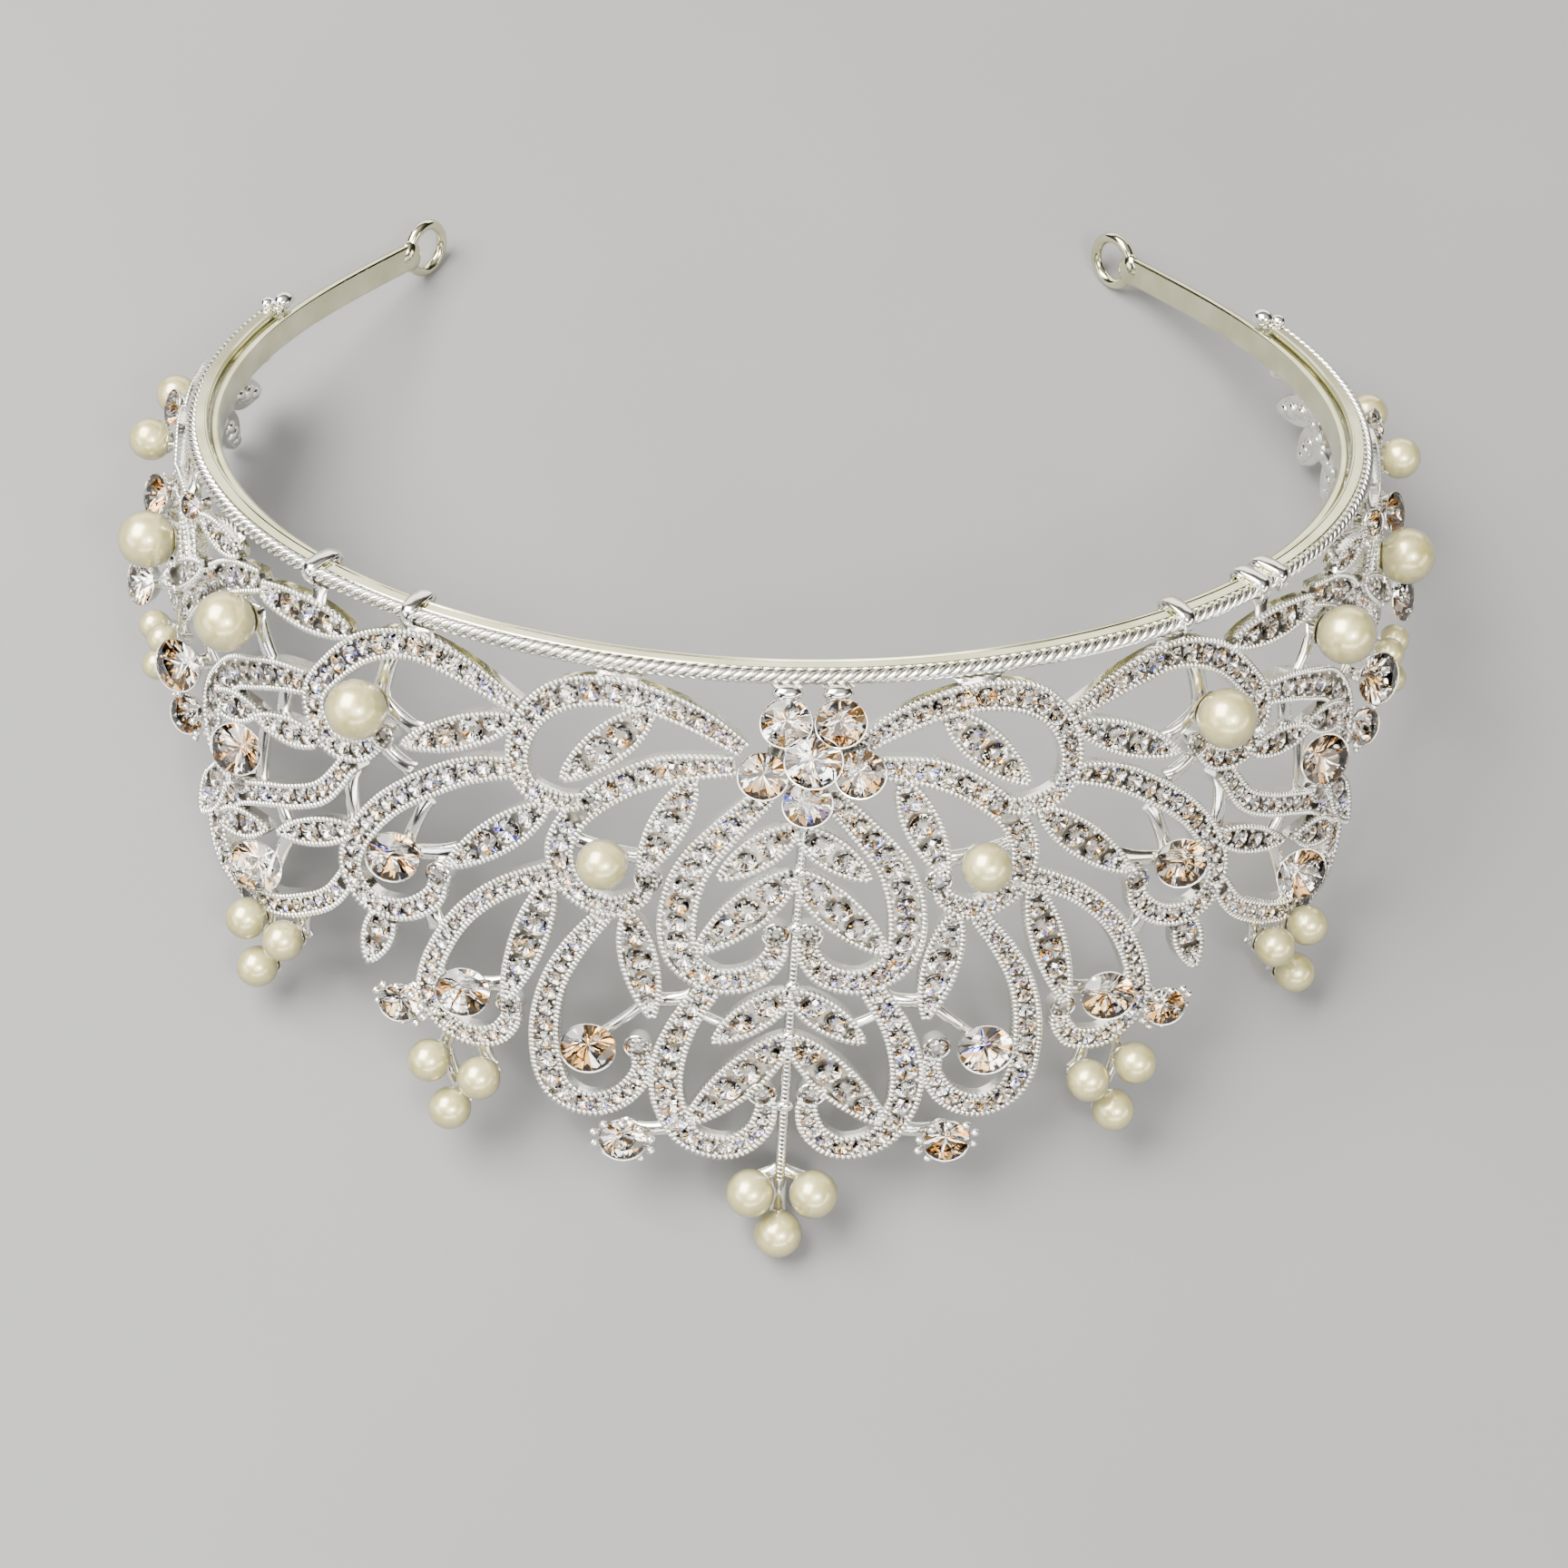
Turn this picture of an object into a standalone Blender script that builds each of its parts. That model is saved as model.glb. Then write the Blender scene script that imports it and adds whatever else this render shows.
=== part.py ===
"""Pearl tiara: a pierced silver-plated crest of scrolls and leaves, set with pearls and crystals.

It lies upside down on a table, as photographed: the headband is uppermost at the front,
and the object rests on the hanging pearl clusters and on the rear of the band.
Built in metres, +Z up. The crest is laid out flat (along the band, down the crest, lift off
the sheet), joined into one casting, and then bent onto a leaning wall below the headband.
"""
import math

import bmesh
import bpy
from mathutils import Matrix, Vector

MM = 0.001

# Driving dimensions, in millimetres and degrees
BAND_THICK = 1.2
BAND_HIGH = 4.0
BAND_END_DEG = 125.5
RAIL_INNER = 1.5
RAIL_OUTER = 4.3
RAIL_LOW = -0.75
RAIL_HIGH = 0.85
RAIL_END_DEG = 102.0
EYELET_RADIUS = 3.45
EYELET_WIRE = 0.78
CREST_OFFSET = 3.75
CREST_DROP = 1.9
CREST_LEAN_DEG = 9.5
PLATE_THICK = 1.6
LEAF_RAISE = 0.3
BAR_LOW = 0.32
BAR_HIGH = 0.8
POST_LOW = 0.21
POST_HIGH = 1.13
PEG_LOW = 0.2
STONE_SEAT = 1.45
SEAT_GAP = 0.3
PEARL_PEG_SHARE = 0.22
STONE_PEG_SHARE = 0.30
CLAW_COUNT = 6
CLAW_LEAN_DEG = 17.0
CLAW_LOW = 0.5
CLAW_HIGH = 2.4
BAND_STEPS = 52
RAIL_STEPS = 44
STONE_SIDES = 8
PEARL_SIDES = 10
SMOOTH_ABOVE_DEG = 42.0
REST_TILT_DEG = 28.8

# Scrolls of one half: centreline points from root to curl (along the band, down the crest, width)
SCROLLS = {
    "top": [(6.0, 7.0, 2.2), (10.5, 4.0, 3.2), (15.5, 2.0, 3.5), (21.0, 1.3, 3.7), (26.5, 2.5, 3.9),
            (30.2, 6.0, 3.3), (31.7, 11.0, 2.8), (30.4, 15.0, 2.8), (26.5, 16.3, 2.6), (22.8, 15.3, 1.8)],
    "pearl_hook": [(7.0, 9.0, 2.6), (14.5, 10.2, 3.6), (20.1, 13.2, 3.6), (24.4, 17.6, 3.3),
                   (26.2, 22.5, 3.4), (24.6, 27.2, 3.2), (20.5, 29.1, 2.9), (17.2, 27.4, 2.5),
                   (16.0, 24.6, 1.8)],
    "upper_frame": [(3.5, 12.6, 2.8), (7.8, 17.6, 3.5), (11.2, 22.7, 4.1), (12.7, 29.0, 4.4),
                    (12.0, 34.7, 4.0), (8.3, 37.6, 3.4), (4.2, 36.8, 3.2), (1.9, 33.8, 2.8),
                    (1.8, 30.9, 2.0)],
    "lower_frame": [(8.6, 38.2, 2.8), (11.6, 44.0, 3.3), (13.1, 50.0, 3.8), (12.8, 55.5, 3.7),
                    (10.4, 60.2, 3.3), (6.3, 61.4, 3.2), (3.2, 59.0, 2.9), (2.2, 55.6, 2.5),
                    (2.7, 53.2, 1.8)],
    "drop_one": [(20.2, 29.2, 2.2), (24.0, 35.3, 2.8), (26.4, 41.5, 3.1), (27.0, 48.5, 3.5),
                 (25.6, 55.0, 3.7), (22.0, 57.2, 3.3), (18.2, 55.4, 2.9), (15.9, 51.5, 2.5),
                 (16.4, 47.8, 1.9)],
    "drop_two": [(26.3, 25.6, 3.0), (32.5, 29.3, 2.8), (37.5, 35.0, 2.7), (40.6, 42.5, 2.9),
                 (40.6, 48.0, 3.2), (37.0, 51.0, 3.0), (33.0, 50.3, 2.8), (31.0, 47.5, 2.5),
                 (31.2, 45.0, 2.0)],
    "second_top": [(31.8, 5.2, 2.2), (39.0, 2.3, 3.5), (45.5, 1.3, 3.7), (51.5, 3.5, 3.8),
                   (56.0, 7.9, 3.6), (58.9, 13.0, 3.4), (56.5, 17.7, 3.4), (51.8, 17.4, 3.1),
                   (48.6, 14.1, 2.2)],
    "second_drop": [(31.5, 13.2, 2.6), (35.5, 14.2, 3.3), (39.8, 16.4, 3.6), (46.3, 21.7, 3.4),
                    (50.4, 27.3, 3.3), (52.1, 33.0, 3.2), (49.5, 36.9, 3.2), (44.8, 36.6, 3.0),
                    (41.0, 33.4, 2.8), (40.4, 30.0, 2.2)],
    "link_upper": [(58.6, 11.5, 2.4), (64.0, 12.8, 2.8), (69.0, 14.8, 3.0), (74.0, 17.5, 3.2),
                   (77.5, 23.5, 3.4), (75.5, 29.5, 3.2), (70.5, 31.0, 2.6)],
    "link_middle": [(53.0, 19.5, 2.2), (56.5, 25.0, 2.6), (61.0, 28.0, 2.6), (66.0, 30.3, 2.6),
                    (71.5, 33.5, 3.0), (74.6, 38.5, 3.0), (72.5, 43.5, 3.0), (68.0, 45.6, 2.4)],
    "link_lower": [(51.6, 33.6, 2.2), (54.5, 39.0, 2.4), (58.5, 42.3, 2.6), (63.0, 44.8, 2.6),
                   (68.5, 45.8, 2.4)],
    "third_top": [(69.0, 2.3, 3.0), (74.5, 4.4, 4.4), (79.5, 7.8, 4.6), (84.0, 12.0, 4.0),
                  (87.0, 16.5, 3.0)],
    "rear_one": [(84.6, 11.0, 2.4), (87.4, 5.0, 3.0), (92.5, 2.8, 3.6), (98.5, 4.4, 3.6),
                 (102.4, 9.5, 3.2), (101.0, 15.3, 3.0), (96.4, 18.0, 3.0), (91.4, 17.6, 2.4)],
    "rear_two": [(99.0, 4.6, 2.4), (104.0, 1.6, 2.8), (109.0, 1.6, 3.2), (112.0, 5.6, 3.2),
                 (110.8, 10.6, 3.0), (106.8, 12.8, 2.8), (102.0, 12.4, 2.2)],
    "rear_three": [(110.6, 3.0, 2.4), (114.5, 1.4, 2.8), (119.5, 1.0, 3.2), (124.0, 3.0, 3.2),
                   (125.8, 7.8, 3.2), (123.2, 12.2, 3.0), (118.6, 13.2, 2.6), (116.4, 10.2, 2.0)],
}

# Leaves of one half: root along, root down, tip along, tip down, width
LEAVES = [
    (16.6, 3.0, 26.1, 13.0, 4.8),
    (11.6, 11.2, 16.9, 23.9, 4.4),
    (0.2, 16.8, 8.2, 23.5, 4.3),
    (0.2, 22.6, 10.3, 33.6, 5.0),
    (0.2, 38.8, 8.1, 45.9, 4.2),
    (0.2, 45.0, 10.6, 57.9, 4.9),
    (18.0, 29.4, 15.0, 43.2, 4.5),
    (28.0, 17.2, 39.2, 28.2, 4.5),
    (27.0, 26.9, 31.6, 44.6, 4.3),
    (32.3, 6.9, 45.7, 14.1, 4.3),
    (46.6, 37.0, 48.8, 45.4, 4.2),
    (51.6, 28.0, 62.9, 34.0, 3.8),
    (57.2, 18.4, 67.9, 20.3, 3.8),
    (53.8, 2.4, 70.0, 3.0, 4.6),
    (74.4, 0.8, 85.4, 1.6, 2.8),
    (74.8, 31.4, 82.6, 35.4, 4.2),
    (110.4, 9.6, 118.2, 17.0, 4.0),
    (124.2, 9.6, 129.4, 17.6, 4.0),
    (124.6, 4.6, 132.0, 0.8, 3.4),
]

# Plain connecting bars of one half: from along, from down, to along, to down, width
BARS = [
    (6.0, 44.6, 10.8, 42.4, 1.2),
    (12.2, 41.0, 15.2, 41.4, 1.8),
    (15.6, 41.8, 21.6, 48.1, 1.3),
    (38.6, 27.0, 51.0, 30.4, 2.0),
    (43.0, 21.0, 45.5, 28.8, 1.6),
    (31.8, 43.2, 40.8, 45.2, 1.8),
    (48.4, 2.4, 50.0, 9.9, 2.2),
    (44.6, 12.6, 50.0, 9.9, 2.0),
    (16.4, 22.5, 25.8, 21.2, 1.8),
    (45.0, 18.0, 49.8, 15.6, 2.0),
    (53.4, 20.8, 52.6, 27.8, 1.8),
    (66.4, 13.4, 70.6, 7.7, 2.0),
    (70.6, 7.7, 76.0, 6.0, 1.8),
    (64.0, 12.6, 64.6, 19.8, 2.0),
    (67.4, 19.6, 67.8, 30.6, 1.8),
    (62.0, 33.6, 64.6, 29.6, 1.8),
    (62.0, 33.2, 65.8, 45.4, 1.8),
    (42.0, 34.2, 40.6, 38.2, 2.2),
    (11.6, 59.4, 17.4, 60.4, 2.4),
    (41.0, 48.4, 43.4, 48.7, 2.6),
    (75.6, 29.6, 82.6, 29.4, 2.2),
    (84.0, 12.6, 80.0, 19.5, 2.2),
    (93.0, 3.4, 96.2, 17.6, 1.8),
    (92.0, 17.4, 90.4, 23.0, 2.0),
    (88.4, 21.4, 90.6, 23.2, 1.4),
    (92.8, 22.4, 90.2, 23.4, 1.4),
    (89.8, 26.2, 90.4, 22.6, 1.4),
    (98.4, 17.4, 100.6, 21.0, 2.4),
    (101.6, 5.4, 111.6, 3.4, 1.8),
    (119.4, 1.4, 119.4, 12.8, 1.8),
    (35.0, 50.6, 33.6, 55.2, 1.6),
    (38.0, 50.6, 39.2, 54.8, 1.6),
    (33.6, 55.2, 36.6, 60.7, 1.6),
    (39.2, 54.8, 36.6, 60.7, 1.6),
    (59.0, 42.6, 59.2, 47.0, 1.8),
    (64.2, 45.2, 64.95, 47.1, 1.8),
    (59.2, 47.0, 63.0, 53.2, 1.6),
    (64.95, 47.1, 63.0, 53.2, 1.6),
]

# Short posts from the crest up to the rope rail: along, how far down, width
RAIL_POSTS = [
    (-1.5, 4.6, 1.5),
    (4.1, 4.6, 1.5),
    *((side * along, 3.0, width) for side in (-1, 1)
      for along, width in ((20.5, 5.0), (45.5, 4.0), (60.0, 2.4), (75.5, 1.8), (92.5, 3.0),
                           (107.0, 3.0), (119.5, 3.0), (130.0, 2.4))),
]

# The ribbed stem from the flower to the tip: along, down, width
STEM = [(1.2, 6.0, 1.1), (0.8, 17.0, 1.0), (0.2, 38.0, 1.0), (-0.2, 55.0, 1.1), (-0.4, 66.0, 1.2)]
STEM_TIP = (-0.4, 64.8)

# Fold-over lugs that hold the rope rail on the headband: along
LUGS = [-61.5, -46.6, 47.5, 60.0, 63.6]

# Pearls of one half: name, along, down, lift of the centre, diameter
PEARLS = [
    ("hook_pearl", 20.6, 21.8, 4.6, 6.1),
    ("side_pearl_1", 50.0, 9.9, 5.0, 7.4),
    ("side_pearl_2", 70.6, 7.7, 5.2, 7.4),
    ("side_pearl_3", 94.7, 10.9, 5.2, 7.4),
    ("side_pearl_4", 107.0, 4.2, 5.2, 5.6),
    ("side_pearl_5", 119.4, 5.2, 5.0, 5.6),
    ("drop_pearl_1", 33.4, 55.2, 4.1, 5.4),
    ("drop_pearl_2", 39.3, 54.8, 4.1, 5.4),
    ("drop_pearl_3", 36.6, 60.8, 4.1, 5.4),
    ("outer_drop_pearl_1", 59.2, 47.0, 4.1, 5.4),
    ("outer_drop_pearl_2", 65.0, 47.2, 4.1, 5.4),
    ("outer_drop_pearl_3", 63.0, 53.3, 3.9, 5.4),
    ("rear_pearl_1", 88.4, 21.4, 3.8, 4.1),
    ("rear_pearl_2", 92.8, 22.4, 3.8, 4.1),
    ("rear_pearl_3", 89.8, 26.2, 3.8, 4.1),
]

# The three pearls at the centre tip
TIP_PEARLS = [
    ("tip_pearl_left", -3.6, 66.4, 3.8, 6.0),
    ("tip_pearl_right", 3.1, 66.5, 3.8, 6.0),
    ("tip_pearl_low", -0.5, 72.4, 3.8, 6.0),
]

# Large stones in plain cups, of one half: name, along, down, diameter
LARGE_STONES = [
    ("large_stone_1", 21.6, 48.1, 6.2),
    ("large_stone_2", 36.1, 44.3, 6.2),
    ("large_stone_3", 45.5, 28.8, 6.2),
]

# Stones held by claws, of one half: name, along, down, diameter
CLAW_STONES = [
    ("claw_stone_1", 17.4, 60.6, 5.4),
    ("claw_stone_2", 43.6, 48.7, 5.0),
]

# Stones cast in with the crest, of one half: along, down, diameter, lift
CAST_STONES = [
    (68.5, 25.5, 6.2, 0.6),
    (64.5, 40.0, 6.2, 0.6),
    (80.0, 19.5, 6.2, 0.6),
    (83.4, 29.4, 5.0, 0.6),
    (101.0, 21.6, 5.4, 0.7),
    (114.6, 6.2, 4.4, 0.7),
    (101.0, 5.8, 4.8, 1.2),
]

# The six stones of the flower, on a hub over its seat: along, down, lift, diameter
FLOWER_CENTRE = (1.3, 7.4)
FLOWER_SEAT = 1.72
FLOWER = [
    (1.4, 6.6, 3.2, 6.4),
    (-1.6, 2.4, 2.0, 5.8),
    (4.3, 2.4, 2.0, 5.8),
    (-3.9, 9.2, 2.0, 5.6),
    (6.6, 8.9, 2.0, 5.8),
    (1.0, 12.6, 2.0, 5.6),
]


def clear_scene():
    for thing in list(bpy.data.objects):
        bpy.data.objects.remove(thing, do_unlink=True)


def make_collection(name):
    group = bpy.data.collections.new(name)
    bpy.context.scene.collection.children.link(group)
    return group


def plan(theta):
    """Inner top edge of the headband seen from above, and its outward normal, in mm."""
    radius = (69.53 - 0.19 * math.cos(2 * theta) - 4.53 * math.cos(3 * theta)
              + 1.86 * math.cos(4 * theta) - 0.11 * math.cos(5 * theta))
    slope = (0.38 * math.sin(2 * theta) + 13.59 * math.sin(3 * theta)
             - 7.44 * math.sin(4 * theta) + 0.55 * math.sin(5 * theta))
    across = Vector((slope * math.sin(theta) + radius * math.cos(theta),
                     -slope * math.cos(theta) + radius * math.sin(theta), 0.0)).normalized()
    point = Vector((radius * math.sin(theta), -radius * math.cos(theta), 0.0))
    return point, Vector((across.y, -across.x, 0.0))


def ring_point(theta, offset, height):
    """A point of the headband's cross-section at one angle round the head."""
    point, out = plan(theta)
    return point + out * offset + Vector((0.0, 0.0, height))


def arc_table():
    """Length along the crest's root for each tenth of a degree."""
    lengths = [0.0]
    last = ring_point(0.0, CREST_OFFSET, 0.0)
    for step in range(1, 1500):
        here = ring_point(math.radians(step / 10.0), CREST_OFFSET, 0.0)
        lengths.append(lengths[-1] + (here - last).length)
        last = here
    return lengths


ARC = arc_table()


def angle_at(along):
    """Angle round the head at a length along the crest's root, negative to the left."""
    side = -1.0 if along < 0 else 1.0
    want = abs(along)
    low, high = 0, len(ARC) - 1
    while high - low > 1:
        mid = (low + high) // 2
        if ARC[mid] > want:
            high = mid
        else:
            low = mid
    part = (want - ARC[low]) / (ARC[high] - ARC[low])
    return side * math.radians((low + part) / 10.0)


def on_crest(along, down, lift):
    """Where a point of the flat layout comes to on the leaning wall of the crest."""
    lean = math.radians(CREST_LEAN_DEG)
    offset = CREST_OFFSET + down * math.sin(lean) + lift * math.cos(lean)
    height = -CREST_DROP - down * math.cos(lean) + lift * math.sin(lean)
    return ring_point(angle_at(along), offset, height)


def crest_axes(along, down, lift):
    """Origin and axes (along, up, outward) of a part standing on the crest."""
    lean = math.radians(CREST_LEAN_DEG)
    _, out = plan(angle_at(along))
    normal = out * math.cos(lean) + Vector((0.0, 0.0, math.sin(lean)))
    side = Vector((-out.y, out.x, 0.0))
    upward = normal.cross(side)
    origin = on_crest(along, down, lift)
    return Matrix((
        (side.x, upward.x, normal.x, origin.x),
        (side.y, upward.y, normal.y, origin.y),
        (side.z, upward.z, normal.z, origin.z),
        (0.0, 0.0, 0.0, 1.0),
    ))


def make_object(name, mesh_maker, group):
    """A new object in the collection from a function that fills a bmesh."""
    mesh = bpy.data.meshes.new(name)
    work = bmesh.new()
    mesh_maker(work)
    bmesh.ops.recalc_face_normals(work, faces=work.faces)
    work.to_mesh(mesh)
    work.free()
    thing = bpy.data.objects.new(name, mesh)
    group.objects.link(thing)
    return thing


def smooth_path(nodes, turn_limit):
    """Nodes of a path with smooth points between where it turns more than the limit in degrees."""
    ends = [nodes[0]] + list(nodes) + [nodes[-1]]
    bends = [0.0] * len(ends)
    for index in range(2, len(ends) - 2):
        come = Vector(ends[index][:2]) - Vector(ends[index - 1][:2])
        leave = Vector(ends[index + 1][:2]) - Vector(ends[index][:2])
        bends[index] = math.degrees(come.angle(leave))
    path = []
    for index in range(1, len(ends) - 2):
        before, start, stop, after = ends[index - 1:index + 3]
        parts = 2 if max(bends[index], bends[index + 1]) > turn_limit else 1
        for part in range(parts):
            t = part / parts
            path.append(tuple(
                0.5 * (2 * b + (c - a) * t + (2 * a - 5 * b + 4 * c - d) * t * t
                       + (3 * b - a - 3 * c + d) * t ** 3)
                for a, b, c, d in zip(before, start, stop, after)))
    path.append(tuple(nodes[-1]))
    return path


def strip(work, path, low, high):
    """A flat band of the given widths along a path, between two lifts."""
    rows = []
    for index, (along, down, width) in enumerate(path):
        before = path[max(index - 1, 0)]
        after = path[min(index + 1, len(path) - 1)]
        way = Vector((after[0] - before[0], before[1] - after[1])).normalized()
        side = Vector((-way.y, way.x)) * width / 2
        left = Vector((along, -down)) + side
        right = Vector((along, -down)) - side
        rows.append([work.verts.new((left.x, left.y, low)), work.verts.new((right.x, right.y, low)),
                     work.verts.new((right.x, right.y, high)), work.verts.new((left.x, left.y, high))])
    for first, second in zip(rows, rows[1:]):
        for corner in range(4):
            turn = (corner + 1) % 4
            work.faces.new((first[corner], first[turn], second[turn], second[corner]))
    work.faces.new(rows[0])
    work.faces.new(rows[-1])


def leaf_path(root_along, root_down, tip_along, tip_down, width):
    """Stations of a leaf: narrow at the root, full at the middle, pointed at the tip."""
    shape = ((0.0, 0.30), (0.20, 0.82), (0.46, 1.0), (0.76, 0.72), (1.0, 0.16))
    return [(root_along + (tip_along - root_along) * t, root_down + (tip_down - root_down) * t,
             width * share) for t, share in shape]


def turned(work, profile, sides, matrix):
    """A closed turned solid from (radius, height) steps, placed by a matrix."""
    half = math.pi / sides
    points = [work.verts.new((radius * math.cos(half), radius * math.sin(half), height))
              for radius, height in profile]
    edges = [work.edges.new(pair) for pair in zip(points, points[1:])]
    bmesh.ops.spin(work, geom=points + edges, cent=(0.0, 0.0, 0.0), axis=(0.0, 0.0, 1.0),
                   angle=2 * math.pi, steps=sides, use_merge=True)
    bmesh.ops.holes_fill(work, edges=[edge for edge in work.edges if edge.is_boundary], sides=sides)
    bmesh.ops.transform(work, matrix=matrix, verts=work.verts)


def cup_profile(diameter):
    """A turned cup closed by a cut stone with a flat table."""
    radius = diameter / 2
    return [(radius * 0.76, 0.0), (radius, 1.25), (radius * 0.90, 1.55), (radius * 0.56, 2.25)]


def flat_peg(work, along, down, radius, low, high, sides):
    """A short upright post of the flat layout."""
    place = Matrix.Translation((along, -down, (low + high) / 2))
    turn = Matrix.Rotation(math.pi / sides, 4, "Z")
    bmesh.ops.create_cone(work, cap_ends=True, segments=sides, radius1=radius, radius2=radius,
                          depth=high - low, matrix=place @ turn)


def join_solids(name, makers, group, cutters):
    """One solid from many overlapping ones, by an exact union."""
    body = make_object(name, makers[0], group)
    crowd = bpy.data.collections.new(name + "_added")
    cutters.children.link(crowd)
    for index, maker in enumerate(makers[1:]):
        extra = make_object("%s_added_%d" % (name, index), maker, crowd)
        extra.hide_render = True
        extra.display_type = "WIRE"
    union = body.modifiers.new("union", "BOOLEAN")
    union.operation = "UNION"
    union.solver = "EXACT"
    union.operand_type = "COLLECTION"
    union.collection = crowd
    bpy.context.view_layer.update()
    seen = body.evaluated_get(bpy.context.evaluated_depsgraph_get())
    mesh = bpy.data.meshes.new_from_object(seen)
    body.modifiers.clear()
    body.data = mesh
    return body


def bend(thing):
    """Bend a flat layout onto the wall of the crest."""
    work = bmesh.new()
    work.from_mesh(thing.data)
    bmesh.ops.remove_doubles(work, verts=work.verts, dist=0.0001)
    bmesh.ops.dissolve_limit(work, angle_limit=math.radians(1.0), verts=work.verts,
                             edges=work.edges)
    bmesh.ops.triangulate(work, faces=work.faces, quad_method="BEAUTY", ngon_method="BEAUTY")
    for vert in work.verts:
        vert.co = on_crest(vert.co.x, -vert.co.y, vert.co.z)
    bmesh.ops.recalc_face_normals(work, faces=work.faces)
    work.to_mesh(thing.data)
    work.free()


def mirrored(row, side, columns=(0,)):
    """A table row for the left (-1) or right (+1) half."""
    return tuple(value * side if index in columns else value for index, value in enumerate(row))


def crest_solids():
    """Makers of every solid that the crest casting is joined from, in the flat layout."""
    makers = []

    def stem(work):
        strip(work, STEM, -0.04, PLATE_THICK + 0.06)
    makers.append(stem)

    def add_strip(path, low, high):
        makers.append(lambda work: strip(work, path, low, high))

    def add_peg(along, down, radius, low, high, sides):
        makers.append(lambda work: flat_peg(work, along, down, radius, low, high, sides))

    def add_turned(profile, sides, along, down, lift):
        place = Matrix.Translation((along, -down, lift))
        makers.append(lambda work: turned(work, profile, sides, place))

    for side in (-1, 1):
        for number, nodes in enumerate(SCROLLS.values()):
            step = 0.013 * (number + 1)
            path = smooth_path([mirrored(node, side) for node in nodes], SMOOTH_ABOVE_DEG)
            add_strip(path, -step, PLATE_THICK + step)
        for number, leaf in enumerate(LEAVES):
            step = 0.011 * (number + 1)
            path = leaf_path(*mirrored(leaf, side, (0, 2)))
            add_strip(path, LEAF_RAISE - step, PLATE_THICK + LEAF_RAISE + 0.02 + step)
        for number, (from_a, from_d, to_a, to_d, width) in enumerate(BARS):
            step = 0.004 * (number + 1)
            add_strip([(side * from_a, from_d, width), (side * to_a, to_d, width)],
                      BAR_LOW - step, BAR_HIGH + step)
        for _, along, down, lift, size in PEARLS:
            add_peg(side * along, down, size * PEARL_PEG_SHARE, PEG_LOW,
                    lift - size / 2 - SEAT_GAP, 4)
        for _, along, down, size in LARGE_STONES + CLAW_STONES:
            add_peg(side * along, down, size * STONE_PEG_SHARE, PEG_LOW, STONE_SEAT, 6)
        for along, down, size, lift in CAST_STONES:
            add_turned(cup_profile(size), STONE_SIDES, side * along, down, lift)
    for _, along, down, lift, size in TIP_PEARLS:
        add_peg(along, down, size * PEARL_PEG_SHARE, PEG_LOW, lift - size / 2 - SEAT_GAP, 4)
        add_strip([(along, down, 1.8), (*STEM_TIP, 1.8)], 0.25, 0.85 + 0.01 * along)
    add_peg(*FLOWER_CENTRE, 4.6, 0.10, 1.0, 10)
    add_peg(*FLOWER_CENTRE, 2.2, 0.5, FLOWER_SEAT, 8)
    for along, reach, width in RAIL_POSTS:
        add_strip([(along, -0.75, width), (along, reach, width)], POST_LOW, POST_HIGH)
    return makers


def sweep_ring(work, section, start_deg, stop_deg, steps):
    """Sweep a closed section of (offset, height) points round the head."""
    rows = []
    for step in range(steps + 1):
        theta = math.radians(start_deg + (stop_deg - start_deg) * step / steps)
        rows.append([work.verts.new(ring_point(theta, off, high)) for off, high in section])
    count = len(section)
    for first, second in zip(rows, rows[1:]):
        for corner in range(count):
            turn = (corner + 1) % count
            work.faces.new((first[corner], first[turn], second[turn], second[corner]))
    work.faces.new(rows[0])
    work.faces.new(rows[-1])


def torus(work, matrix, radius, wire, around, sides):
    """A ring of round wire in its own XY plane."""
    upright = Matrix.Translation((radius, 0.0, 0.0)) @ Matrix.Rotation(math.pi / 2, 4, "X")
    bmesh.ops.create_circle(work, segments=sides, radius=wire, matrix=upright)
    bmesh.ops.spin(work, geom=work.verts[:] + work.edges[:], cent=(0.0, 0.0, 0.0),
                   axis=(0.0, 0.0, 1.0), angle=2 * math.pi, steps=around, use_merge=True)
    bmesh.ops.transform(work, matrix=matrix, verts=work.verts)


def band_end_matrix(side, beyond):
    """Axes at a band end: along the band, up, and across, moved past the end."""
    theta = side * math.radians(BAND_END_DEG)
    _, out = plan(theta)
    along = Vector((-out.y, out.x, 0.0)) * side
    origin = ring_point(theta, BAND_THICK / 2, -BAND_HIGH / 2) + along * beyond
    return Matrix((
        (along.x, 0.0, out.x, origin.x),
        (along.y, 0.0, out.y, origin.y),
        (0.0, 1.0, 0.0, origin.z),
        (0.0, 0.0, 0.0, 1.0),
    ))


def headband_solids():
    def hoop(work):
        section = [(0.0, 0.0), (BAND_THICK, 0.0), (BAND_THICK, -BAND_HIGH), (0.0, -BAND_HIGH)]
        sweep_ring(work, section, -BAND_END_DEG, BAND_END_DEG, BAND_STEPS)

    def eyelet(side):
        place = band_end_matrix(side, EYELET_RADIUS + 0.5)
        return lambda work: torus(work, place, EYELET_RADIUS, EYELET_WIRE, 12, 6)
    return [hoop, eyelet(-1), eyelet(1)]


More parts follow.
